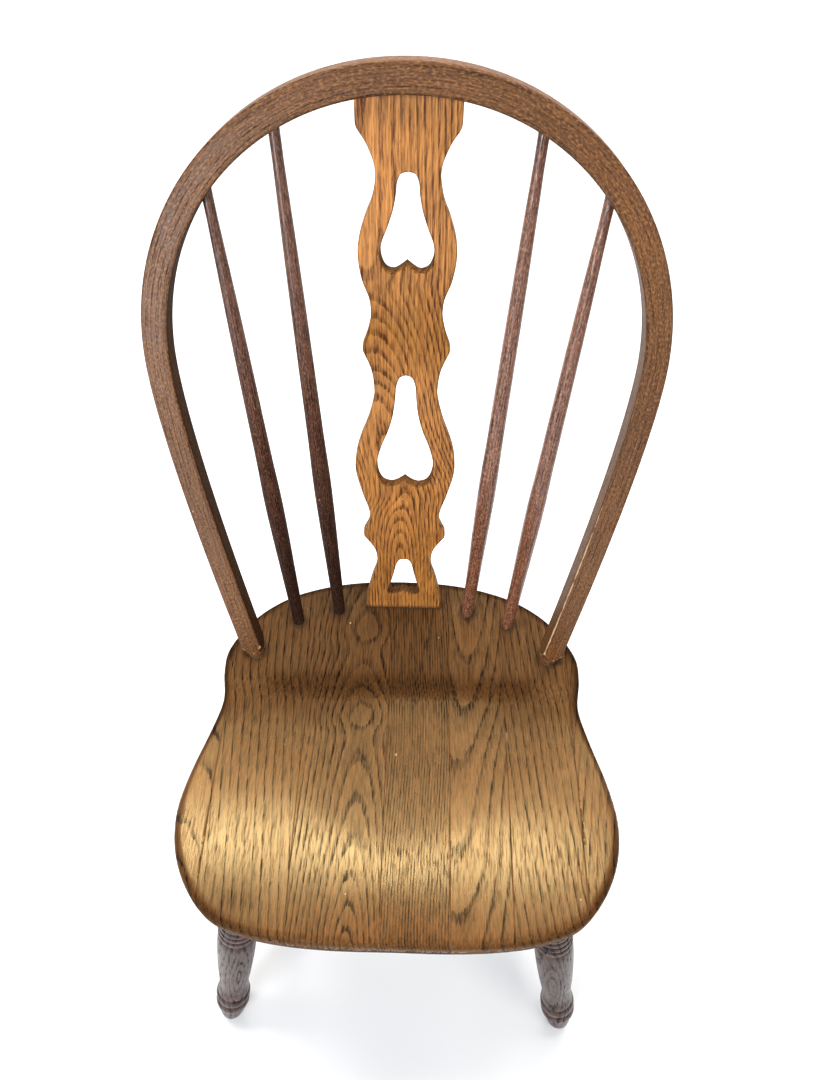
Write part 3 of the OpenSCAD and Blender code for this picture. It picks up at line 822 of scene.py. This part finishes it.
@dataclass
class Bow:
    """The bent square bar: two sprung legs and an arch, tenoned into the seat."""
    width: float = 480.0
    height: float = 636.0
    widest: float = 383.0
    face: float = 23.0
    depth: float = 24.0
    lean: float = 15.0
    foot_x: float = 179.0
    foot_y: float = 328.0
    kink: float = 0.75
    squareness: float = 2.06
    corner: float = 1.9
    tenon_r: float = 11.0
    tenon_l: float = 25.5

    @property
    def half_w(self) -> float:
        """Half the width over the bar's middle line."""
        return (self.width - self.face) / 2

    def arch(self, degrees: Array | float) -> Array:
        """Point of the arch: a slightly square ellipse.

        Args:
            degrees: the angle, 0 at the widest place and 90 at the top.

        Returns:
            (across, up the slope).
        """
        a = np.radians(degrees)
        e = 2 / self.squareness
        rise = self.height - self.face / 2 - self.widest
        return joined(self.half_w * np.maximum(np.cos(a), 0)**e, self.widest + rise * np.sin(a)**e)

    def leg(self, t: Array) -> Array:
        """Point of a leg, 0 at the seat and 1 at the widest place: a curve of the second degree."""
        u = self.half_w - (self.half_w - self.foot_x) * (1 - t)**2
        return joined(u, self.widest * (2 * self.kink * t * (1 - t) + t * t))

    def world(self, p: Array, out: Array | float = 0.0) -> Array:
        """Place of a point of the leaning plane, moved out of it towards the front."""
        s, c = math.sin(math.radians(self.lean)), math.cos(math.radians(self.lean))
        return joined(p[..., 0], self.foot_y + p[..., 1] * s - out * c, SEAT_H + p[..., 1] * c + out * s)

    def path(self) -> tuple[Array, Array]:
        """The bar's middle line from the right tenon over the top to the left one.

        Returns:
            Points in the leaning plane, and for each its distance above the seat
            along the bar, below zero in the tenon.
        """
        fine = np.vstack([self.leg(np.linspace(0, 1, 80)[:-1]), self.arch(np.linspace(0.0, 90.0, 200))])
        length = run(fine)
        at = np.concatenate([np.linspace(0, 40, 41), np.linspace(43, length[-1], 190)])
        half = joined(*(np.interp(at, length, part) for part in fine.T))
        down = np.array([-self.tenon_l, -8.0, -2.0, -0.6])
        right = np.vstack([half[0] + down[:, None] * unit(fine[1] - fine[0]), half])
        above = np.concatenate([down, at])
        left = right[:-1][::-1] * [-1, 1]
        return np.vstack([right, left]), np.concatenate([above, above[:-1][::-1]])

    def section(self) -> tuple[Array, Array]:
        """The square section with its rubbed corners, going round once.

        Returns:
            Points (in the plane, out of it), and 1 at the corners fading to 0.
        """
        half, r = np.array([self.face, self.depth]) / 2, self.corner
        arc = np.linspace(0, math.pi / 2, 7)
        loop = []
        for turn, corner in enumerate(((1, 1), (-1, 1), (-1, -1), (1, -1))):
            w = arc + turn * math.pi / 2
            loop.append((half - r) * corner + r * joined(np.cos(w), np.sin(w)))
        corners = np.vstack(loop)
        points = []
        for p, q in zip(corners, np.roll(corners, -1, axis=0)):
            steps = 8 if math.dist(p, q) > 5 else 1
            cuts = 0.5 - 0.5 * np.cos(np.arange(steps) / steps * math.pi)
            points.append(p + (q - p) * cuts[:, None])
        ring = np.vstack(points)
        near = np.minimum(half - np.abs(ring), 9).sum(axis=1)
        return ring, np.clip(1.6 * np.exp(-near / 1.6), 0, 1)

    def build(self, shop: Workshop) -> None:
        """Sweeps the section along the bar, turned down to the round tenon at each foot.

        Args:
            shop: finishes the piece.
        """
        path, above = self.path()
        above, side = above[:, None], path[:, :1] / self.half_w
        ring, corner = self.section()
        reach = np.hypot(ring[:, 0], ring[:, 1])
        swell = np.where(above < 3.0, 0.6, 0.35 + 7.5 * ease((above - 3.0) / 24.0)**0.8)
        turned = self.tenon_r + swell * (above >= 0.0)
        shrink = np.minimum(1.0, turned / reach)
        u, out = ring[:, 0] * shrink, ring[:, 1] * shrink
        points = self.world(path[:, None, :] + side_normals(path)[:, None, :] * u[..., None], out)
        length = run(path)[:, None]
        place = joined(u + 40.0, out + 9.0, length)
        rings = (u * 0.75 + out * 0.66) / 3.4 + 20 + 0.8 * np.sin(length / 210.0)

        low = ease((330.0 - above) / 160.0) * (ring[:, 0] > 0)
        front = np.where(ring[:, 1] > 0, 0.4 + low * (0.48 + 0.2 * np.sign(side)), 0.25)
        shoulder = hill(turned, reach, 0.9) * (above > 2.5)
        wear = np.clip(corner * front * (shrink > 0.999) + 0.8 * shoulder, 0, 1)
        # Inner faces darker, far more on the left limb, whose inner face turns away from the light at the
        # left: painted shade. The corners and the top of the arch are darker too.
        inner = (u > self.face / 2 - 0.2) * (1.4 * ease(-side * 3) + 0.33 * ease(side * 3))
        tone = -0.45 * corner - inner - 0.25 * hill(side, 0.0, 0.45)
        shell = Shell("bow")
        # the darkening where the bar meets the seat is painted shade, with soiling
        shell.add(points, place, rings, 0.0, wear, 0.8 * fade(np.abs(above - 1.0), 3.0), tone, wrap=True)
        for end in (0, -1):
            middle = np.broadcast_to(points[end].mean(axis=0), points[end].shape)
            shell.add(np.stack([points[end], middle]), np.stack([place[end]] * 2), 20.0, wrap=True)
        shop.dress(shell, Look.BOW, crease=55.0)


# ---- splat ----

@dataclass
class Splat:
    """The flat fretted splat between the seat and the top of the bow.

    Its outline and cut-outs are drawn for a splat of the width and length in
    "drawn", and stretched to its own size.
    """
    width: float = 106.0
    thick: float = 12.0
    foot_y: float = 401.0
    top: tuple[float, float] = (0.0, 0.0)
    foot_in: float = 13.5
    head_in: float = 7.5
    soften: float = 1.1
    drawn: tuple[float, float] = (106.0, 600.0)
    figure: Figure = Figure(
        3.9, ((0, 0), (150, -3), (200, 2), (300, -24), (430, -32), (620, -44)),
        ((-20, 0.2), (60, 1), (110, 2.2), (150, 4), (190, 6), (260, 7.8), (318, 9.2),
         (350, 11), (382, 12.6), (410, 14.2), (440, 15.6), (470, 15), (620, 14)), seed=8.8)
    half: Array = field(init=False)
    holes: list[Array] = field(init=False)

    def __post_init__(self) -> None:
        """Works out the right-hand outline and the right halves of the cut-outs."""
        parts = [
            [(48, 0), (44, 28), (38.5, 54), (33.5, 72), (32, 88), (35, 106), (47, 127)],
            [(47, 133), (40, 150), (40, 168), (46, 191), (52.5, 222), (52.5, 244), (47, 268), (38, 294),
             (32, 320), (31.5, 338), (34, 356), (41.5, 376)],
            [(41.5, 380), (36, 396), (33, 413), (34, 430), (40, 448), (43, 468), (42, 485), (36, 505),
             (30, 520), (27, 537), (28, 550), (34, 565), (41, 576), (42, 584)]]
        cuts = [
            [(0, 30), (5, 28), (12, 25), (18, 26), (19.5, 33), (16, 46), (12, 64), (9, 79), (5, 87),
             (0, 88)],
            [(0, 214), (7, 208), (15, 205), (24, 209), (29, 222), (29.5, 240), (25, 260), (18, 280),
             (13, 300), (10.5, 320), (9.5, 335), (6, 346), (0, 349)],
            [(0, 464), (6, 459), (12, 456), (19, 459), (23, 469), (22.5, 482), (17, 497), (12.5, 511),
             (10, 524), (9, 534), (6, 541), (0, 543)]]
        scale = np.array([self.width, self.length]) / self.drawn
        foot = (parts[0][0][0], -self.foot_in / scale[1])
        head = (parts[-1][-1][0], self.drawn[1] + self.head_in / scale[1])
        self.half = np.vstack([foot, *(curve(part, 9) for part in parts), head]) * scale
        self.holes = [curve(cut, 7) * scale for cut in cuts]

    @property
    def length(self) -> float:
        """Length from the seat to the underside of the bow."""
        return math.hypot(self.top[0] - self.foot_y, self.top[1] - SEAT_H)

    @property
    def lean(self) -> float:
        """Lean from upright, in radians."""
        return math.atan2(self.top[0] - self.foot_y, self.top[1] - SEAT_H)

    def world(self, x: Array, out: Array | float, v: Array) -> Array:
        """Place of a point across x, out towards the front and v up the splat."""
        s, c = math.sin(self.lean), math.cos(self.lean)
        return joined(x, self.foot_y + v * s - out * c, SEAT_H + v * c + out * s)

    def lay(self, shell: Shell, grid: Array, out: Array | float, wear: Array | float, tone: float = 0.0,
            grime_and_shade: Array | float = 0.0) -> None:
        """Adds a grid of the splat, and its mirror image on the other side.

        Args:
            shell: the shell it joins.
            grid: places (across, up the splat) right of the middle.
            out: how far in front of the middle plane they lie.
            wear: 0 to 1, how near a rubbed edge is.
            tone: paler above 0, darker below.
            grime_and_shade: 0 to 1, soiling and painted shade.
        """
        x, v = np.moveaxis(grid, -1, 0)
        # darker at the foot on the seat and at the head under the bow: painted shade, with soiling
        dirt_and_shade = np.clip(grime_and_shade + 0.8 * fade(v - 1, 3.5) + 0.6 * fade(self.length - v - 1, 3.5), 0, 0.9)
        # darker across the splat's middle and paler towards its head
        along_tone = 0.2 * ease((v - 450) / 100) - 0.58 * hill(v, 395, 60)
        for side in (1, -1):
            at = (x * side, out, v)
            shell.add(self.world(*at), self.figure.place(*at), self.figure.rings(*at), self.figure.lift(*at),
                      wear, dirt_and_shade, tone + along_tone)

    def rim(self, shell: Shell, path: Array, inward: Array, tone: float, grime_and_shade: float) -> None:
        """Carries the edge profile along a path: a soft corner, the wall and a soft corner.

        Args:
            shell: the shell it joins.
            path: points (across, up the splat) of the edge.
            inward: the way into the wood at each point.
            tone: paler above 0, darker below.
            grime_and_shade: painted shade and soiling on the wall, 0 to 1.
        """
        r, t = self.soften, self.thick / 2
        a = np.linspace(0, math.pi / 2, 4)
        shift, front = r * (1 - np.sin(a)), t - r * (1 - np.cos(a))
        shifts = np.concatenate([shift, np.zeros(5), shift[::-1]])[:, None, None]
        out = np.concatenate([front, np.linspace(t - r, r - t, 7)[1:-1], -front[::-1]])[:, None]
        wear = np.repeat([0.55, 0.0, 0.45], [4, 5, 4])[:, None]
        wall = np.repeat([0.0, 1.0, 0.0], [3, 7, 3])[:, None]
        self.lay(shell, path + inward * shifts, out, wear, tone, grime_and_shade * wall)

    def ladder(self, shell: Shell) -> tuple[Array, list[tuple[Array, Array]]]:
        """Adds the cut-outs' rims and finds where the rungs of the faces start.

        Rungs run from the middle line or a cut-out to the outline. Below each
        cut-out they start on a slant, and a patch fills in up to its lower lip.

        Args:
            shell: the shell that the rims join.

        Returns:
            The starts from the foot to the head, and the slant and lip of each patch.
        """
        starts, patches = [], []
        v = self.half[0, 1]
        for hole in self.holes:
            inward = side_normals(hole)
            inward *= -1.0 if inward[len(hole) // 2, 0] < 0 else 1.0
            inward[0], inward[-1] = (0.0, -1.0), (0.0, 1.0)
            # cut-out walls much darker: painted shade in the recesses, with soiling
            self.rim(shell, hole, inward, -0.9, 0.72)
            edge = hole + inward * self.soften
            low = int(np.argmin(edge[:, 1]))
            lip, below = edge[:low + 1], edge[low, 1] - 15.0
            slant = joined(lip[:, 0], below + (edge[low, 1] - below) * lip[:, 0] / edge[low, 0])
            patches.append((slant, lip))
            starts += [joined(0.0, np.arange(v, below, 3.0)), slant[:-1], edge[low:]]
            v = edge[-1, 1] + 1.2
        starts.append(joined(0.0, np.linspace(v, self.half[-1, 1], 28)))
        return np.vstack(starts), patches

    def outline(self, v: Array) -> tuple[Array, Array]:
        """Reads the outline.

        Args:
            v: heights up the splat.

        Returns:
            At each height, the point of the outline and the way into the wood.
        """
        x, high = self.half.T
        slope = np.clip(np.gradient(x) / np.maximum(np.gradient(high), 1e-6), -3, 3)
        inward = unit(joined(-1.0, np.interp(v, high, slope)))
        inward[:, 1] *= (v > high[1]) & (v < high[-2])
        return joined(np.interp(v, high, x), v), inward

    def build(self, shop: Workshop) -> None:
        """Builds the rims, both faces as ladders out to the outline, and the two ends.

        Args:
            shop: finishes the piece.
        """
        shell = Shell("splat", self.figure.band)
        rows, patches = self.ladder(shell)
        outline, inward = self.outline(np.maximum.accumulate(rows[:, 1]))
        # outline walls darker: painted shade, with soiling
        self.rim(shell, outline, inward, -0.5, 0.32)
        edge = outline + inward * self.soften
        s = np.concatenate([[0, 0.03, 0.08], np.linspace(0.15, 0.85, 12), [0.92, 0.97, 1.0]])
        grid = rows[:, None] + (edge - rows)[:, None] * s[None, :, None]
        by_hole = (rows[:, :1] > 0.5) * fade(s, 0.03)
        wear = 0.5 * np.maximum(fade(1 - s, 0.03), by_hole)
        k = np.linspace(0, 1, 7)
        for out in (self.thick / 2, -self.thick / 2):
            self.lay(shell, grid, out, wear)
            for slant, lip in patches:
                patch = slant[:, None] + (lip - slant)[:, None] * k[None, :, None]
                self.lay(shell, patch, out, 0.5 * k**12)
        levels = np.linspace(self.thick / 2, -self.thick / 2, 3)[:, None]
        for row in (0, -1):
            self.lay(shell, np.stack([grid[row]] * 3), levels, 0.0)
        shop.dress(shell, Look.SPLAT, crease=35.0)


# ---- turned pieces ----

@dataclass
class Turning:
    """A piece turned on a lathe between two points.

    The profile holds rows (radius, height along the axis). Heights of the dark
    grooves, of the dark ends where it meets other pieces, and of the spans of painted
    shadow, where it darkens from the first height to the second, are on the same
    axis; "tone" goes from the first value to the second along it. The grooves, the
    ends and the hollows of the profile are darkened with soiling and painted shade.
    """
    name: str
    start: Array
    end: Array
    profile: Array
    look: Look
    figure: Figure
    grooves: tuple[float, ...] = ()
    ends: tuple[float, ...] = ()
    painted_shadows: tuple[tuple[float, float], ...] = ()
    floor: bool = False
    tone: tuple[float, float] = (0.0, 0.0)

    def build(self, shop: Workshop, around: int = 56) -> None:
        """Carries the profile round the axis.

        The profile's radius and height are read at each row; across and through
        the wood are the cosine and the sine of the turn times the radius.

        Args:
            shop: finishes the piece.
            around: points in one turn.
        """
        axis = unit(self.end - self.start)
        side = unit(np.cross(axis, [0.0, 1.0, 0.0]))
        up = np.cross(axis, side)
        turn = np.arange(around) * 2 * math.pi / around
        r, h = self.profile[:, :1], self.profile[:, 1:]
        a, b = r * np.cos(turn), r * np.sin(turn)
        points = self.start + axis * h[..., None] + side * a[..., None] + up * b[..., None]
        if self.floor:
            below = np.minimum(points[..., 2:], 0.0)
            points = points - axis * below / axis[2]
        along = np.broadcast_to(h, a.shape)
        # hollows of the profile darker (painted shade), proud tops worn
        bend = np.gradient(np.gradient(self.profile[:, :1], axis=0), axis=0)
        proud = np.clip(bend * -1.5, 0, 0.55)
        shade_and_soiling = np.clip(bend * 2.2, 0, 0.5) * (np.abs(bend) > 0.05)
        # grooves darker: soiling and painted shade
        for at in self.grooves:
            shade_and_soiling = np.maximum(shade_and_soiling, 0.95 * hill(h, at, 1.2))
        # painted shadow, deepening up each span
        for low, high in self.painted_shadows:
            shade_and_soiling = np.maximum(shade_and_soiling, 0.5 * ease((h - low) / (high - low)))
        # ends darker where they meet other pieces: painted shade, with soiling
        for at in self.ends:
            shade_and_soiling = np.maximum(shade_and_soiling, 0.85 * fade(np.abs(h - at), 3.0))
        tone = self.tone[0] + (self.tone[1] - self.tone[0]) * ease(h / h[-1])
        shell = Shell(self.name, self.figure.band)
        shell.add(points, self.figure.place(a, b, along), self.figure.rings(a, b, along),
                  self.figure.lift(a, b, along), proud, shade_and_soiling, tone, wrap=True)
        shop.dress(shell, self.look, crease=42.0)


def bead(low: float, high: float, core: float, proud: float, steps: int = 12) -> Array:
    """Half-round bead as profile points: radius = core + proud x sine, height by the cosine."""
    a = np.linspace(0, math.pi, steps + 1)
    return joined(core + proud * np.sin(a), low + (high - low) * (1 - np.cos(a)) / 2)


@dataclass
class Spindles:
    """The four slim spindles, two on each side of the splat."""
    foot_d: float = 14.0
    max_d: float = 19.5
    top_d: float = 9.5
    tenon: float = 21.5
    straight: float = 36.8
    seat_at: tuple[tuple[float, float], ...] = ((81.0, 388.15), (131.0, 371.9))
    arch_at: tuple[float, float] = (63.0, 44.0)

    def profile(self, length: float) -> Array:
        """A plain foot, a swell at a third, and a slim top.

        Args:
            length: from the seat to the middle of the bow's bar.

        Returns:
            Rows (radius, height).
        """
        f, m, t = self.foot_d / 2, self.max_d / 2, self.top_d / 2
        body = curve([(f, 6), (f + 1.2, length * 0.13), (m, length * 0.34), (m - 1.3, length * 0.48),
                      ((m + t) / 2 - 0.4, length * 0.74), (t, length - self.straight)], 14)
        foot = [(0, -self.tenon), *((f, h) for h in (-self.tenon, -1, 0, 1.5, 3))]
        head = [*((t, length - down) for down in (20, 14, 11.5, 10, 0.5)), (0, length - 0.5)]
        return np.vstack([foot, body, head])

    def build(self, shop: Workshop, bow: Bow) -> None:
        """Builds the four, each from the seat to the middle of the bow's bar.

        Args:
            shop: finishes the pieces.
            bow: the bow that they end in.
        """
        for k, word in enumerate(("inner", "outer")):
            for side, hand in SIDES:
                x, y = self.seat_at[k]
                start = np.array([side * x, y, SEAT_H])
                end = bow.world(bow.arch(self.arch_at[k])) * [side, 1, 1]
                length = math.dist(start, end)
                figure = Figure(2.6, ((-40, 34), (600, 20)), slope=0.5, seed=9.0 + k + side * 0.37)
                # tone by side: the left spindles darker, most at their feet, and the right ones paler:
                # painted shade and painted light
                Turning(f"spindle_{hand}_{word}", start, end, self.profile(length), Look.SPINDLES, figure,
                        ends=(0.0, length - bow.face / 2), tone=(1.2 * side - 0.35, 0.3 * side + 0.05),
                        ).build(shop, around=40)


@dataclass
class Undercarriage:
    """Four turned legs and the H of turned stretchers.

    Heights of the beads, the neck, the vase and the rings run up a leg's axis.
    """
    front_foot: tuple[float, float] = (232.5, -7.0)
    front_top: tuple[float, float] = (167.0, 76.0)
    back_foot: tuple[float, float] = (195.0, 457.0)
    back_top: tuple[float, float] = (151.0, 349.0)
    foot_d: float = 26.0
    bead_d: float = 45.0
    bead_z: float = 45.0
    bead_h: float = 22.0
    neck_d: float = 38.0
    neck_z: float = 120.0
    vase_d: float = 47.0
    vase_z: float = 225.0
    rings: int = 4
    ring_z: float = 278.0
    ring_h: float = 11.5
    top_d: float = 28.0
    tenon: float = 21.5
    bar_h: float = 170.0
    side_d: float = 26.0
    side_end_d: float = 15.0
    side_in: float = 7.0
    side_hidden: float = 16.0
    cross_d: float = 25.0
    cross_end_d: float = 12.0
    cross_in: float = 4.0
    cross_hidden: float = 8.0

    @property
    def ring_heights(self) -> list[float]:
        """Heights of the rings' lower edges, and of the top of the last one."""
        return [self.ring_z + k * self.ring_h for k in range(self.rings + 1)]

    @property
    def grooves(self) -> tuple[float, ...]:
        """Heights of the dark lines at the ends of the beads and the rings."""
        beads = (self.bead_z - 1, self.bead_z + self.bead_h, self.bead_z + 2 * self.bead_h + 1)
        return (*beads, *self.ring_heights[:-1], self.ring_heights[-1] + 0.5)

    def leg_profile(self, length: float) -> Array:
        """Foot, two beads, a neck swelling to the vase, four rings, and the upper neck.

        Args:
            length: from the floor to the seat's underside, along the axis.

        Returns:
            Rows (radius, height).
        """
        f, n, v, t = (d / 2 for d in (self.foot_d, self.neck_d, self.vase_d, self.top_d))
        core, low, high = self.bead_d / 2 - 3.5, self.bead_z, self.bead_z + 2 * self.bead_h
        *rings, top = self.ring_heights
        rest = length - top
        return np.vstack([
            [(0, -12), (f - 1, -12)],
            curve([(f - 1, 0), (f + 1.5, 6), (f + 4, low * 0.45), (core, low - 3)], 6),
            bead(low, low + self.bead_h, core, 3.5), bead(low + self.bead_h, high, core, 3.5),
            curve([(core + 1.5, high + 2), (n + 1, high + 12), (n, self.neck_z),
                   ((n + v) / 2 + 0.5, (self.neck_z + self.vase_z) / 2), (v, self.vase_z),
                   (v, self.ring_z - 14), (v - 2, self.ring_z)], 9),
            *[bead(at, at + self.ring_h, v - 2 - k * 0.4, 2.0, 10) for k, at in enumerate(rings)],
            curve([(v - 4, top + 1), (n - 2, top + rest * 0.25), (n - 1, top + rest * 0.45),
                   (t + 1, top + rest * 0.75), (t, length - 12)], 9),
            [(t, length - 3), (t, length), (t, length + self.tenon), (0, length + self.tenon)]])

    def bar_profile(self, length: float, d: float, end_d: float, straight: float) -> Array:
        """Straight ends, and a swell with two rings at the middle.

        Args:
            length: from end to end.
            d: diameter beside the rings.
            end_d: diameter of the ends.
            straight: length of each straight end.

        Returns:
            Rows (radius, height).
        """
        m, e, waist = length / 2, end_d / 2, d / 2 - 2
        return np.vstack([
            [(0, 0), (e, 0)],
            curve([(e, straight), (waist - 1, m * 0.72), (waist, m - 22)], 14),
            bead(m - 20, m - 12, waist, 2.0, 8),
            [(waist + 1.5, m + way) for way in (-11, 0, 11)],
            bead(m + 12, m + 20, waist, 2.0, 8),
            curve([(waist, m + 22), (waist - 1, length - m * 0.72), (e, length - straight)], 14),
            [(e, length), (0, length)]])

    def at_bar(self, foot: Array, top: Array) -> Array:
        """The point of a leg's axis at the height of the stretchers."""
        return foot + (top - foot) * self.bar_h / top[2]

    def leg(self, shop: Workshop, name: str, foot: Array, top: Array, side: int, seed: float) -> None:
        """Builds a leg.

        Args:
            shop: finishes the piece.
            name: its name.
            foot: the middle of its foot, on the floor.
            top: where its axis meets the seat's underside.
            side: -1 at the left, 1 at the right.
            seed: tells its figure from the others'.
        """
        length = math.dist(foot, top)
        across = ((-20, 6 + 10 * side), (190, 6 + 6 * side), (480, 6 + 10 * side))
        depth = ((-20, 3.4), (60, 3.0), (130, 1.6), (185, 0.3), (240, 1.8), (330, 3.4), (480, 4.4))
        figure = Figure(4.6, across, depth, seed=seed)
        # the span from 250 to 340 is painted shadow on the leg's top under the seat
        Turning(name, foot, top, self.leg_profile(length), Look.LEGS, figure, grooves=self.grooves,
                ends=(length,), painted_shadows=((250.0, 340.0),), floor=True).build(shop, around=72)

    def bar(self, shop: Workshop, name: str, start: Array, end: Array, sizes: tuple[float, ...],
            figure: Figure) -> None:
        """Builds a stretcher.

        Args:
            shop: finishes the piece.
            name: its name.
            start: the end of its axis inside one turning.
            end: the end inside the other.
            sizes: the diameters of its middle, of its ends and of the turnings it
                enters, and how much of its length they hide.
            figure: how its wood was sawn.
        """
        d, end_d, into_d, hidden = sizes
        length = math.dist(start, end)
        # the ends darken where they enter the legs: painted shade, with soiling
        Turning(name, start, end, self.bar_profile(length, d, end_d, into_d * 0.7), Look.LEGS, figure,
                ends=(hidden, length - hidden)).build(shop, around=48)

    def build(self, shop: Workshop) -> None:
        """Builds the legs, the two side stretchers and the cross stretcher.

        Args:
            shop: finishes the pieces.
        """
        under = SEAT_H - SEAT_T
        places = (("front", self.front_foot, self.front_top), ("back", self.back_foot, self.back_top))
        for side, hand in SIDES:
            at = []
            for k, (place, foot_at, top_at) in enumerate(places):
                foot = np.array([side * foot_at[0], foot_at[1], 0.0])
                top = np.array([side * top_at[0], top_at[1], under])
                self.leg(shop, f"leg_{place}_{hand}", foot, top, side, 13.0 + 2 * k + side * 0.7)
                at.append(self.at_bar(foot, top))
            way = unit(at[1] - at[0]) * self.side_in
            self.bar(shop, f"stretcher_{hand}", at[0] + way, at[1] - way,
                     (self.side_d, self.side_end_d, self.vase_d, self.side_hidden),
                     Figure(4.0, ((0, 18), (400, 26)), seed=17.0 + side))
        end = (at[0] + at[1]) / 2 - [self.cross_in, 0, 0]
        self.bar(shop, "stretcher_cross", end * [-1, 1, 1], end,
                 (self.cross_d, self.cross_end_d, self.side_d, self.cross_hidden),
                 Figure(4.0, ((0, 18), (400, 12)), seed=19.5))


# ---- studio ----

@dataclass(frozen=True)
class SoftBox:
    """A rectangular soft light that faces a point, turned in its own plane by degrees."""
    name: str
    at: Triple
    aim: Triple
    size: tuple[float, float]
    watts: float
    colour: Triple = (1.0, 1.0, 1.0)
    turn: float = 0.0

    def hang(self) -> None:
        """Puts the light in the scene, out of the camera's sight."""
        data = bpy.data.lights.new(self.name, "AREA")
        data.shape = "RECTANGLE"
        data.size, data.size_y = self.size
        data.energy = self.watts
        data.color = self.colour
        lamp = bpy.data.objects.new(self.name, data)
        lamp.location = self.at
        facing = (Vector(self.aim) - Vector(self.at)).to_track_quat("-Z", "Y")
        lamp.rotation_euler = (facing @ Quaternion((0.0, 0.0, 1.0), math.radians(self.turn))).to_euler()
        lamp.visible_camera = False
        bpy.context.scene.collection.objects.link(lamp)


@dataclass
class Studio:
    """A pale floor, soft light from above and around, and the camera."""
    eye: Triple = (0.01205, -0.3961, 1.3395)
    pitch: float = 53.606
    yaw: float = -0.946
    roll: float = 0.594
    sensor: float = 36.0
    focal: float = 27.23167
    floor_reach: float = 9.0
    floor_z: float = -0.0004
    boxes: tuple[SoftBox, ...] = (
        SoftBox("top_box", at=(-0.17, 0.19, 2.0), aim=(-0.17, 0.1, 0.45), size=(1.46, 0.24), watts=31.5,
                colour=(1.0, 0.98, 0.94), turn=-2.0),
        SoftBox("halo_box", at=(0.0, 0.72, 2.0), aim=(0.0, 0.1, 0.45), size=(1.9, 0.5), watts=11.0,
                colour=(1.0, 0.98, 0.94)),
        SoftBox("back_box", at=(0.0, 3.4, 3.0), aim=(0.0, 2.2, 0.0), size=(3.2, 2.0), watts=110.0),
        SoftBox("left_box", at=(-1.8, -2.6, 1.0), aim=(0.0, 0.0, 0.6), size=(1.4, 1.3), watts=98.0,
                colour=(0.9, 0.94, 1.0)),
        SoftBox("right_box", at=(1.9, -1.6, 2.2), aim=(0.0, 0.0, 0.4), size=(1.4, 1.4), watts=26.0,
                colour=(1.0, 0.97, 0.93)))

    def floor(self) -> None:
        """Lays the plain floor, in matt paint with a faint mottle."""
        mesh = bpy.data.meshes.new("floor")
        corners = [(x * self.floor_reach, y * self.floor_reach, self.floor_z)
                   for x, y in ((-1, -1), (1, -1), (1, 1), (-1, 1))]
        mesh.from_pydata(corners, [], [(0, 1, 2, 3)])
        plane = bpy.data.objects.new("floor", mesh)
        bpy.context.scene.collection.objects.link(plane)
        net = Net("floor_paint")
        cloud = net.noise(net.node("TexCoord", {}, "Object"), (2.0, 2.0, 2.0), 3.0)
        paint = net.mix(cloud, (0.86, 0.86, 0.86), (0.9, 0.9, 0.9))
        net.put(net.shader, {"Base Color": paint, "Roughness": 0.9, "Specular IOR Level": 0.2})
        mesh.materials.append(net.material)

    def lights(self) -> None:
        """Sets the even room light and hangs the soft boxes."""
        world = bpy.data.worlds.new("room")
        world.use_nodes = True
        back = world.node_tree.nodes["Background"]
        back.inputs["Color"].default_value = (0.93, 0.96, 1.0, 1.0)
        back.inputs["Strength"].default_value = 0.6
        bpy.context.scene.world = world
        for box in self.boxes:
            box.hang()
        bpy.context.scene.view_settings.view_transform = "Standard"

    def camera(self) -> None:
        """Places the camera from its eye point, its pitch, its yaw and its roll."""
        p, w, r = (math.radians(a) for a in (self.pitch, self.yaw, self.roll))
        ahead = Vector((math.sin(w) * math.cos(p), math.cos(w) * math.cos(p), -math.sin(p)))
        across = Vector((math.cos(w), -math.sin(w), 0.0))
        above = across.cross(ahead)
        right = across * math.cos(r) + above * math.sin(r)
        up = above * math.cos(r) - across * math.sin(r)
        turn = Matrix((right, up, -ahead)).transposed()
        data = bpy.data.cameras.new("view")
        data.sensor_fit = "VERTICAL"
        data.sensor_height = self.sensor
        data.lens = self.focal
        view = bpy.data.objects.new("view", data)
        view.matrix_world = Matrix.Translation(Vector(self.eye)) @ turn.to_4x4()
        bpy.context.scene.collection.objects.link(view)
        bpy.context.scene.camera = view


def main() -> None:
    """Builds the studio, then the chair from the seat up and down."""
    logging.basicConfig(level=logging.INFO, format="%(name)s: %(message)s")
    studio = Studio()
    studio.camera()
    studio.floor()
    studio.lights()
    shop = Workshop()
    Seat().build(shop)
    bow = Bow()
    bow.build(shop)
    head = bow.world(np.array([0.0, bow.height - bow.face]))
    Splat(top=(float(head[1]), float(head[2]))).build(shop)
    Spindles().build(shop, bow)
    Undercarriage().build(shop)


if __name__ == "__main__":
    main()
